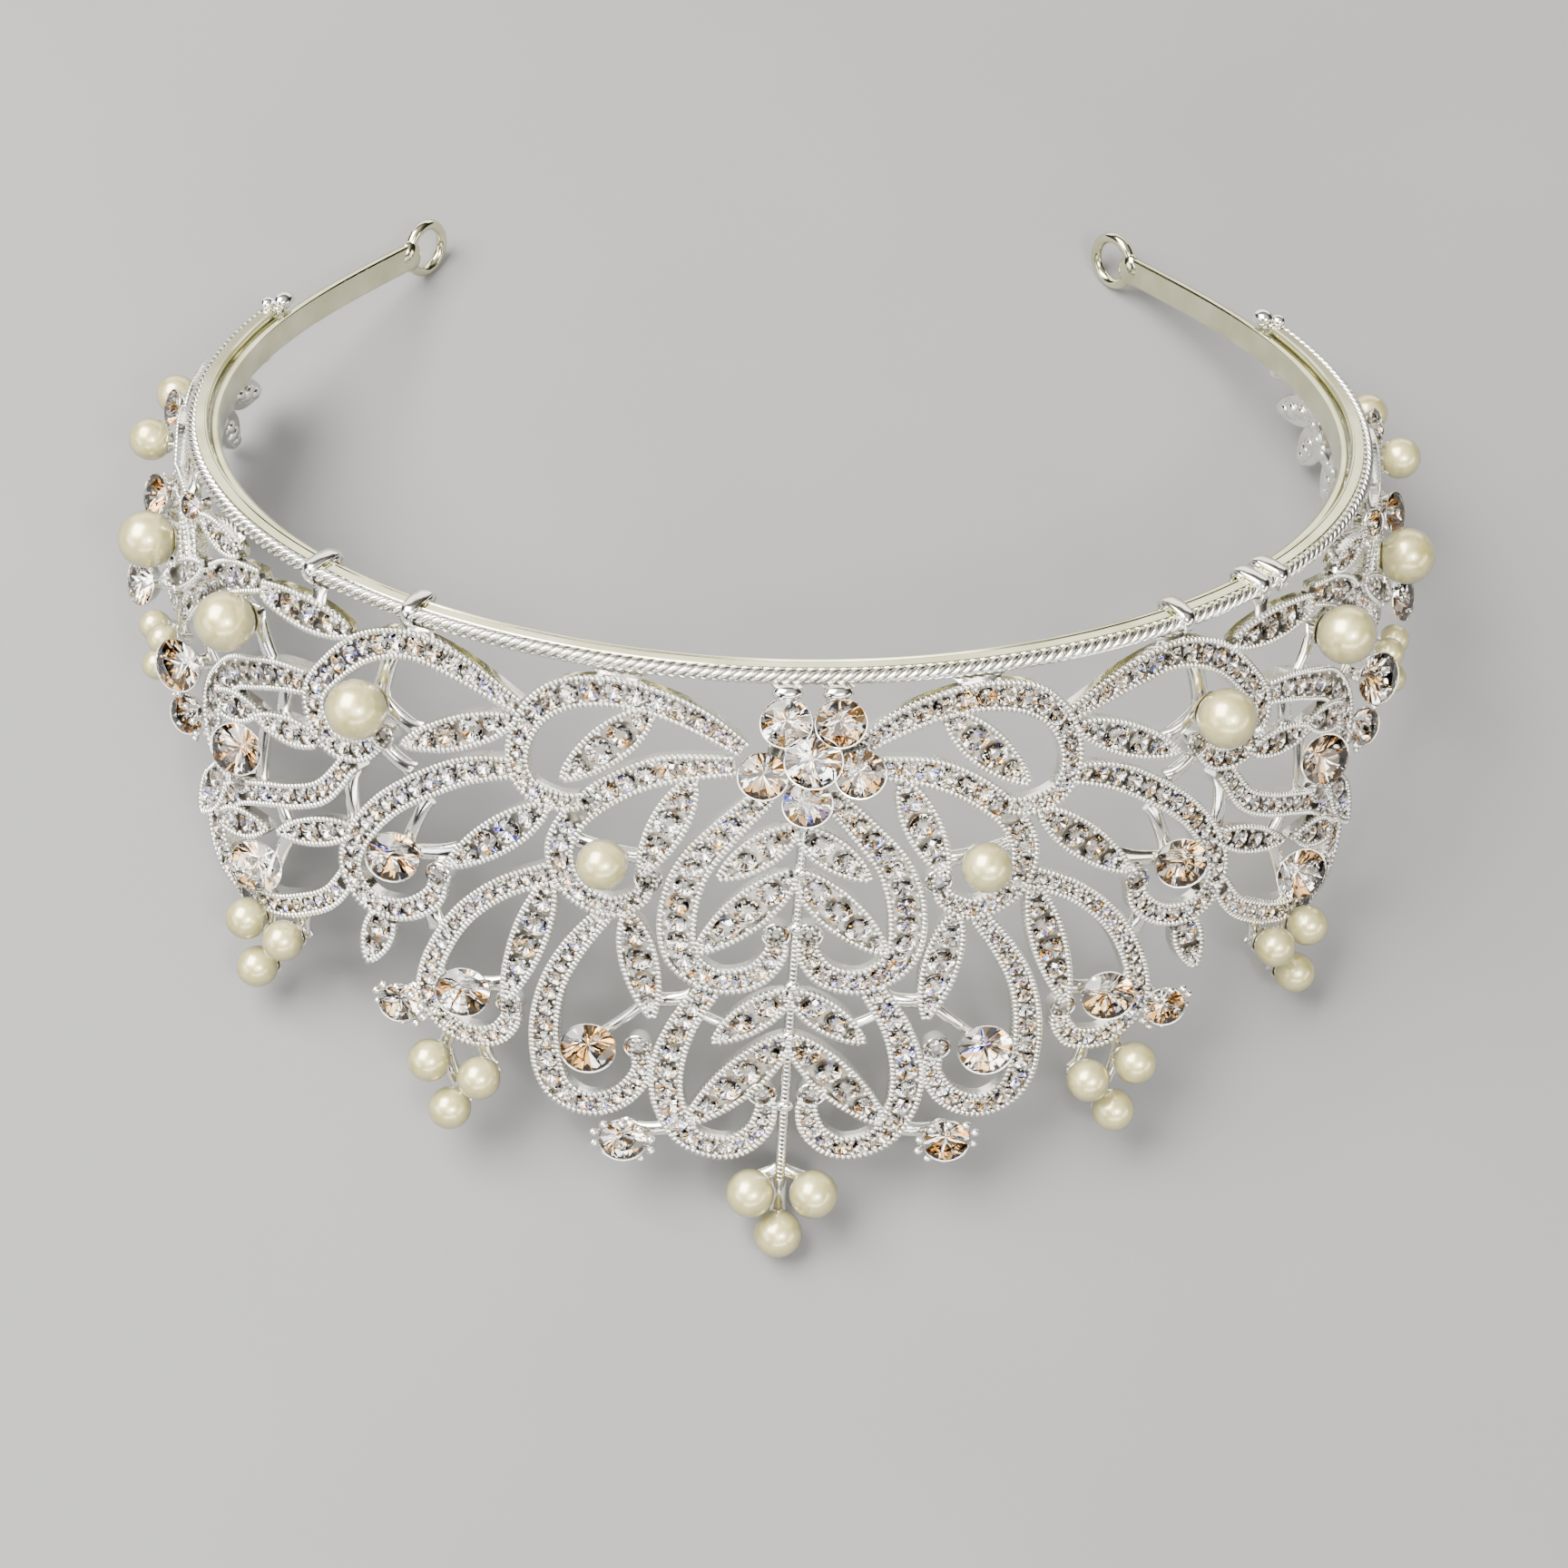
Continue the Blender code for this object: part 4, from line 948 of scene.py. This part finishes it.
# A dark rod inside the rope that shows between its wires: dull silver painted brownish grey as the shade deep
# in the rope's grooves
GROOVE_PAINTED_SHADE = clouded_finish("rope_groove_painted_shade", 2.0, 3.0, [(0.35, "6E6A5A"), (0.65, "827C68")],
                        {"Metallic": 1.0, "Roughness": 0.5})

# Silver-plated strip, drawn and buffed: a mirror with faint long waves
STRIP = clouded_finish("buffed_silver_strip", 6.0, 2.0, [(0.35, "E2E0C2"), (0.70, "C6C4A0")],
                       {"Metallic": 1.0}, (0.06, 0.20), (6.0, 0.10, 0.08))

# Cut lead crystal: clear, polished flat, with a faint smoky cloud
CRYSTAL = clouded_finish("cut_crystal", 4.0, 2.0, [(0.3, "FFFFFF"), (0.7, "F6F4F2")],
                         {"Roughness": 0.0, "IOR": 1.56, "Transmission Weight": 1.0})
FOIL = foil_finish()
NACRE = pearl_finish()


def flipped(row, side, columns=(0,)):
    """A table row for the left (-1) or right (+1) half."""
    return tuple(value * side if index in columns else value for index, value in enumerate(row))


def make_crest():
    """The casting: channelled scrolls and leaves with milgrain edges, their stones, and plain bars."""
    for side, label in SIDES.items():
        plate, milgrain, stones, grains = Shape(), Shape(), Shape(), Shape()
        laid, leaves = [], []
        for number, (name, nodes) in enumerate(SCROLLS.items(), 1):
            band = Band([flipped(node, side) for node in nodes])
            if not band.cut_to(~inside_any(band.centre, laid, SCROLL_CLEAR)):
                continue
            top = PLATE_TOP + SCROLL_STEP * number
            low = -SCROLL_STEP * number - (LINK_DEEPER if name.startswith("link") else 0.0)
            add_channel(plate, band, low, top, CHANNEL_FLOOR)
            add_milgrain(milgrain, band, top, laid)
            add_pave(stones, grains, band, low, top, laid, SCROLL_ENDS, STONE_GAP, STONE_MOST)
            add_curl_cup(plate, stones, band, top)
            laid.append(band)
        for number, row in enumerate(LEAVES + HIGH_LEAVES):
            band = leaf_band(*flipped(row, side, (0, 2)))
            rise = LEAF_LIFT
            if row in HIGH_LEAVES:
                rise = HIGH_LEAF_LIFT
            else:
                band.cut_to(~inside_any(band.centre, laid, LEAF_CLEAR))
            low, top = rise - LEAF_STEP * number, PLATE_TOP + rise + LEAF_STEP * number
            add_channel(plate, band, low, top, CHANNEL_FLOOR + rise)
            add_milgrain(milgrain, band, top, leaves)
            add_pave(stones, grains, band, low, top, leaves, LEAF_ENDS, LEAF_STONE_GAP, LEAF_STONE_MOST)
            if row[0] > REAR_LEAVES_FROM:
                add_back_mounds(plate, band, low)
            leaves.append(band)
        make_piece("scroll_casting_" + label, plate, on_crest, [SILVER, CASTING_PAINTED_SHADE], sharp_deg=34.0)
        make_piece("milgrain_" + label, milgrain, on_crest, [SILVER], sharp_deg=70.0)
        make_piece("stone_grains_" + label, grains, on_crest, [SILVER], sharp_deg=180.0)
        make_piece("pave_stones_" + label, stones, on_crest, [CRYSTAL, FOIL])
    make_back_bars()


def add_back_mounds(plate, band, low):
    """Rounded mounds on the back of a rear leaf, which is seen from inside the headband."""
    run = band.centre[-1] - band.centre[0]
    length = np.linalg.norm(run)
    turn = np.eye(3)
    turn[0, :2], turn[1, :2] = run / length, left_of(run / length)
    for share, wide in BACK_MOUNDS:
        size = (BACK_MOUND_SHARE * length, wide, BACK_MOUND_HIGH)
        plate.add_form(BALL, (*(band.centre[0] + run * share), low), np.diag(size) @ turn)


def add_curl_cup(plate, stones, band, top):
    """The round cup and its stone that end a curl."""
    spot = (*band.centre[-1], top)
    plate.add_form(turned_form(CURL_CUP, 28), spot)
    add_set_stone(stones, spot, CURL_STONE_RADIUS, (0.0, CURL_STONE_TIP))


def make_back_bars():
    """Plain bars, pegs and posts, the ribbed stem and its knots, and the cups of the pearls."""
    bars, stem, cups = Shape(), Shape(), Shape()
    for side in SIDES:
        for from_a, from_d, to_a, to_d, width in BARS:
            add_rod(bars, (side * from_a, from_d), (side * to_a, to_d), width * BAR_WIDER, *BAR_SECTION)
        for along, reach, width in RAIL_POSTS:
            add_rod(bars, (side * along, RAIL_POSTS_FROM), (side * along, reach), width, *RAIL_POST_SECTION)
        bars.add_form(BALL, flipped(REAR_BEAD[:3], side), np.eye(3) * REAR_BEAD[3])
    for along, reach, width in FLOWER_POSTS:
        add_rod(bars, (along, FLOWER_POSTS_FROM), (along, reach), width, *FLOWER_POST_SECTION)
        bars.add_form(BALL, (along, *FLOWER_POST_BALL), np.diag(FLOWER_POST_BALL_SIZE))
    for _, along, down, *_ in TIP_PEARLS:
        add_rod(bars, (along, down), STEM_TIP, *TIP_ROD_SECTION)
    band = Band(STEM, round_end=False)
    section = [(band.half * math.cos(a), STEM_LIFT + STEM_THICK * math.sin(a)) for a in round_angles(8)]
    stem.add_rows(flat_rows(band.centre, band.side, section))
    spots, way = pitched(band.centre, GRAIN_PITCH)
    stem.add_forms(BEAD, lifted(spots, STEM_RIB_LIFT), rib_axes(way, STEM_RIB_SIZE))
    for down in STEM_KNOTS:
        along = np.interp(down, [row[1] for row in STEM], [row[0] for row in STEM])
        stem.add_form(BALL, (along, down, STEM_KNOT_LIFT), np.diag(STEM_KNOT_SIZE))
    for _, along, down, lift, size in PEARLS + [flipped(row, -1, (1,)) for row in PEARLS] + TIP_PEARLS:
        radius = size / 2
        seat = lift - radius
        profile = [(0.01, 0.1 - seat), (radius * 0.28, 0.1 - seat), (radius * 0.30, -0.2),
                   (radius * 0.60, 0.40), (radius * 0.55, 0.48), (radius * 0.33, 0.14), (0.01, 0.05)]
        cups.add_form(turned_form(profile, 24), (along, down, seat))
    make_piece("crest_bars", bars, on_crest, [SILVER], 50.0, ["crest"])
    make_piece("ribbed_stem", stem, on_crest, [SILVER], sharp_deg=180.0)
    make_piece("pearl_cups", cups, on_crest, [SILVER], sharp_deg=40.0)


def add_cup_stone(metal, stones, spot, size, tip):
    """A brilliant in a plain open cup with a thin bezel turned over its edge, on a hollow stalk where
    the cup stands clear of the casting.
    """
    radius = size / 2
    depth = CUP_DEEP * radius
    axes = stone_axes(1.0, 0.0, tip)
    rim = np.add(spot, (0.0, 0.0, CUP_RISE))
    cup = [(radius * 0.40, -depth), (radius * 0.80, -depth * 0.5), (radius * 0.99, -0.15),
           (radius, 0.08), (radius - 0.04, 0.14), (radius - 0.12, 0.13), (radius - 0.12, -0.12),
           (radius * 0.72, -depth * 0.5), (radius * 0.32, -depth)]
    metal.add_form(turned_form(cup, 40), rim, axes)
    foot = rim - axes[2] * depth
    if foot[2] > STALK_LEAST:
        add_stalk(metal, spot, foot, STALK_TOP_SHARE * radius)
    add_set_stone(stones, rim, radius - BEZEL_OVER, tip)


def add_stalk(metal, spot, foot, reach):
    """The hollow post from the casting to the foot of a stone's cup, which it meets at an angle."""
    high = foot[2] + 0.1
    profile = [(0.5, 0.0), (1.25, 0.0), (0.95, high * 0.5), (reach, high), (reach - 0.35, high),
               (0.55, high * 0.5)]
    lean = np.eye(3)
    lean[2, :2] = np.subtract(foot[:2], spot[:2]) / high
    metal.add_form(turned_form(profile, 20), (*spot[:2], 0.0), lean)


def add_claws(metal, spot, size):
    """Claws round a stone, each ending in a small ball."""
    for angle in round_angles(CLAW_COUNT) + math.pi / CLAW_COUNT:
        way = np.array([math.cos(angle), math.sin(angle)])
        foot, head = spot[:2] + way * size * CLAW_FOOT, spot[:2] + way * size * CLAW_REACH
        tilt = -math.tan(FACE_UP) * way[1] * size * CLAW_REACH
        rows = []
        for t in np.linspace(0.0, 1.0, 4):
            middle, lift = foot * (1 - t) + head * t, spot[2] + 0.2 + (CLAW_RISE + tilt) * t
            rows.append([(*(middle + left_of(way) * 0.26 * math.cos(a) + way * 0.2 * math.sin(a)),
                          lift + 0.1 * math.sin(a)) for a in round_angles(6)])
        metal.add_rows(np.array(rows))
        metal.add_form(BALL, (*head, spot[2] + CLAW_RISE + 0.25 + tilt), np.eye(3) * CLAW_BALL)


def make_stone_piece(name, metal, stones, stands_for=()):
    """Stones and the metal that holds them as one piece."""
    whole = Shape()
    for shape, first in ((metal, 0), (stones, 1)):
        whole.add(np.concatenate(shape.points), shape.faces, [first + finish for finish in shape.finishes],
                  shape.tones)
    make_piece(name, whole, on_crest, [SILVER, CRYSTAL, FOIL], None, stands_for)


def make_set_stones():
    """The flower, the large stones in cups, those in claws and the ones cast in with the crest."""
    metal, stones = Shape(), Shape()
    for *spot, size in FLOWER:
        add_cup_stone(metal, stones, spot, size, (0.0, FACE_UP))
    metal.add_form(turned_form(FLOWER_HUB, 32), FLOWER_HUB_SPOT)
    make_stone_piece("flower_head", metal, stones, ["flower"])
    for side, label in SIDES.items():
        for name, *spot, size in CUP_STONES + CLAW_STONES:
            metal, stones = Shape(), Shape()
            turn = -side * FACE_FRONT * spot[0] / CUP_STONES[-1][1]
            spot = flipped(spot, side)
            if name.startswith("claw"):
                add_cup_stone(metal, stones, spot, size - CLAW_STONE_LESS, (turn, FACE_UP))
                add_claws(metal, spot, size)
            else:
                add_cup_stone(metal, stones, spot, size, (turn, FACE_UP))
            make_stone_piece("%s_%s_set" % (name, label), metal, stones, ["%s_%s" % (name, label)])
        metal, stones = Shape(), Shape()
        for *spot, size in CAST_STONES + [CAST_CLAW_STONE]:
            add_cup_stone(metal, stones, flipped(spot, side), size, (-side * FACE_FRONT, FACE_UP))
        add_claws(metal, flipped(CAST_CLAW_STONE[:3], side), CAST_CLAW_STONE[3])
        make_stone_piece("side_stones_" + label, metal, stones)


def make_pearls():
    """The pearls: finely rounded beads that stand for the frame's plain ones."""
    paired = [row[0] + "_" + label for label in SIDES.values() for row in PEARLS]
    for node in paired + [row[0] for row in TIP_PEARLS]:
        low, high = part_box(node)
        mesh = bpy.data.meshes.new(node + "_nacre")
        work = bmesh.new()
        bmesh.ops.create_uvsphere(work, u_segments=40, v_segments=24, radius=max(high - low) / 2,
                                  matrix=Matrix.Translation((low + high) / 2))
        work.to_mesh(mesh)
        work.free()
        mesh.shade_smooth()
        place_piece(node + "_nacre", mesh, [NACRE], [node])


def strip_section():
    """Section of the headband with rounded corners: (offset, height) points from its inner top edge."""
    soft, far, low = BAND_CORNER, BAND_THICK - BAND_CORNER, BAND_CORNER - BAND_HIGH
    corners = [(soft, -soft, 90.0), (soft, low, 180.0), (far, low, 270.0), (far, -soft, 0.0)]
    return [(offset + soft * math.cos(a), height + soft * math.sin(a))
            for offset, height, start in corners for a in np.radians(start + 90.0 * np.arange(5) / 4)]


def make_headband():
    """The flat polished strip, with its round eyelets."""
    band = Shape()
    reach = arc_to(BAND_END_DEG)
    along = np.linspace(-reach, reach, 320)
    ease = np.clip((np.abs(along) - BAND_LOW_TO) / (BAND_FULL_FROM - BAND_LOW_TO), 0.0, 1.0)
    ease = ease ** 2 * (3 - 2 * ease)
    share = (BAND_HIGH_FRONT + (BAND_HIGH - BAND_HIGH_FRONT) * ease) / BAND_HIGH
    band.add_rows(band_rows([(along, offset, height * share) for offset, height in strip_section()]))
    wire = [(EYELET_RADIUS + EYELET_WIRE * math.cos(a), EYELET_WIRE * math.sin(a)) for a in round_angles(14)]
    for side in SIDES:
        theta = np.array(side * math.radians(BAND_END_DEG))
        onward, outward, up = band_axes(theta)
        axes = np.array([onward * side, up, outward])
        centre = ring_point(theta, BAND_THICK / 2, -BAND_HIGH / 2) + axes[0] * (EYELET_RADIUS + EYELET_PAST)
        band.add_form(turned_form(wire, 48), centre, axes)
        band.add_form(BALL, centre - axes[0] * EYELET_RADIUS, np.diag(EYELET_SOLDER) @ axes)
    make_piece("polished_headband", band, None, [STRIP], 40.0, ["headband"])


def add_strand(shape, along, start):
    """One wire of the rope, wound round the rail's outer edge."""
    angle = start + 2 * math.pi * along / (ROPE_PITCH * ROPE_STRANDS)
    radial = np.column_stack([np.zeros(len(along)), np.cos(angle), np.sin(angle)])
    centre = ROPE_CORE * radial + (0.0, ROPE_OUT, ROPE_UP)
    centre[:, 0] = along
    across = np.cross(unit(np.gradient(centre, axis=0)), radial)
    shape.add_rows(band_rows([(centre + STRAND_RADIUS * (math.cos(a) * radial + math.sin(a) * across)).T
                              for a in round_angles(8)]))


def add_strap(shape, along):
    """The folded tab of a lug, across the rail."""
    offset, height, width = smooth_line(LUG_FOLD, 6).T
    way = unit(np.gradient(np.column_stack([offset, height]), axis=0))
    lines = []
    for a in round_angles(12):
        side = np.sign(math.cos(a)) * abs(math.cos(a)) ** 0.75
        rise = LUG_THICK * math.sin(a)
        lines.append((along + width / 2 * side, offset - way[:, 1] * rise, height + way[:, 0] * rise))
    shape.add_rows(band_rows(lines))


def make_rope_rail():
    """The flat-topped rail with a twisted rope along its outer edge, its lugs and end clamps."""
    reach = arc_to(RAIL_END_DEG)
    rail, rope, lugs = Shape(), Shape(), Shape()
    along = np.linspace(-reach, reach, 360)
    rail.add_rows(band_rows([(along, offset, height) for offset, height in RAIL_SECTION]))
    # The rope's heart, a rod with finish 1 that shows between the wires as painted shade
    rope.add_rows(band_rows([(along, ROPE_OUT + ROPE_HEART * math.cos(a), ROPE_UP + ROPE_HEART * math.sin(a))
                             for a in round_angles(10)]), [1] * 10)
    fine = np.linspace(-reach, reach, int(2 * reach / ROPE_STEP))
    for start in round_angles(ROPE_STRANDS):
        add_strand(rope, fine, start)
    for along in LUGS:
        add_strap(lugs, along)
        theta = angle_at(along)
        for offset, height, *sizes in LUG_SOLDER:
            lugs.add_form(BALL, ring_point(theta, offset, height), np.diag(sizes) @ band_axes(theta))
    make_piece("rail_top", rail, None, [STRIP], 9.0, ["rope_rail"])
    make_piece("twisted_rope", rope, None, [SILVER, GROOVE_PAINTED_SHADE], sharp_deg=180.0)
    make_piece("rail_lugs", lugs, None, [SILVER], sharp_deg=180.0)
    for side, label in SIDES.items():
        clamp = Shape()
        theta = np.array(side * math.radians(RAIL_END_DEG + CLAMP_PAST_DEG))
        axes = band_axes(theta)
        for where, size in CLAMP_BALLS:
            clamp.add_form(BALL, ring_point(theta, 0.0, 0.0) + flipped(where, side) @ axes,
                           np.diag(size) @ axes)
        make_piece("end_clamp_" + label, clamp, None, [SILVER], 180.0, ["clamp_" + label])


def make_light(name, spot, size, power, colour):
    """A flat soft light that faces the tiara."""
    lamp = bpy.data.lights.new(name, "AREA")
    lamp.shape = "RECTANGLE"
    lamp.size, lamp.size_y = size
    lamp.energy = power
    lamp.color = linear(colour)[:3]
    thing = put_in_scene(name, lamp)
    thing.location = spot
    thing.rotation_mode = "QUATERNION"
    thing.rotation_quaternion = (Vector(LIT_POINT) - Vector(spot)).to_track_quat("-Z", "Y")


def make_studio():
    """A matt pale table, soft light from above and a dim warm room."""
    bpy.ops.mesh.primitive_plane_add(size=6.0, location=(0.0, 0.0, 0.0))
    table = bpy.context.object
    table.name = "table_top"
    table.data.materials.append(clouded_finish("pale_table", 60.0, 2.0, [(0.3, "727272"), (0.7, "767675")],
                                               {"Roughness": 0.7}))
    for row in LIGHTS:
        make_light(*row)
    world = bpy.data.worlds.new("dim_room")
    bpy.context.scene.world = world
    world.use_nodes = True
    tree = world.node_tree
    place = tree.nodes.new("ShaderNodeTexCoord").outputs["Generated"]
    parts = add_node(tree, "ShaderNodeSeparateXYZ", links={"Vector": place})
    ramp = add_node(tree, "ShaderNodeValToRGB", links={"Fac": parts.outputs["Z"]})
    set_ramp(ramp, ROOM_TONES)
    fit_node(tree, tree.nodes["Background"], {"Strength": ROOM_LIGHT}, {"Color": ramp.outputs["Color"]})


def make_camera():
    """The camera at the photograph's angle, above the table."""
    lens = bpy.data.cameras.new("photo_camera")
    lens.lens = CAMERA_LENS
    lens.sensor_width = 36.0
    lens.clip_start = 0.01
    camera = put_in_scene("photo_camera", lens)
    right, down, ahead = (REST_TURN @ np.array(axis) for axis in (CAMERA_RIGHT, CAMERA_DOWN, CAMERA_AHEAD))
    turn = Matrix(np.column_stack([right, -down, -ahead]).tolist()).to_4x4()
    camera.matrix_world = Matrix.Translation(at_rest([CAMERA_SPOT])[0]) @ turn.normalized()
    bpy.context.scene.camera = camera


make_camera()
make_studio()
make_headband()
make_rope_rail()
make_crest()
make_set_stones()
make_pearls()
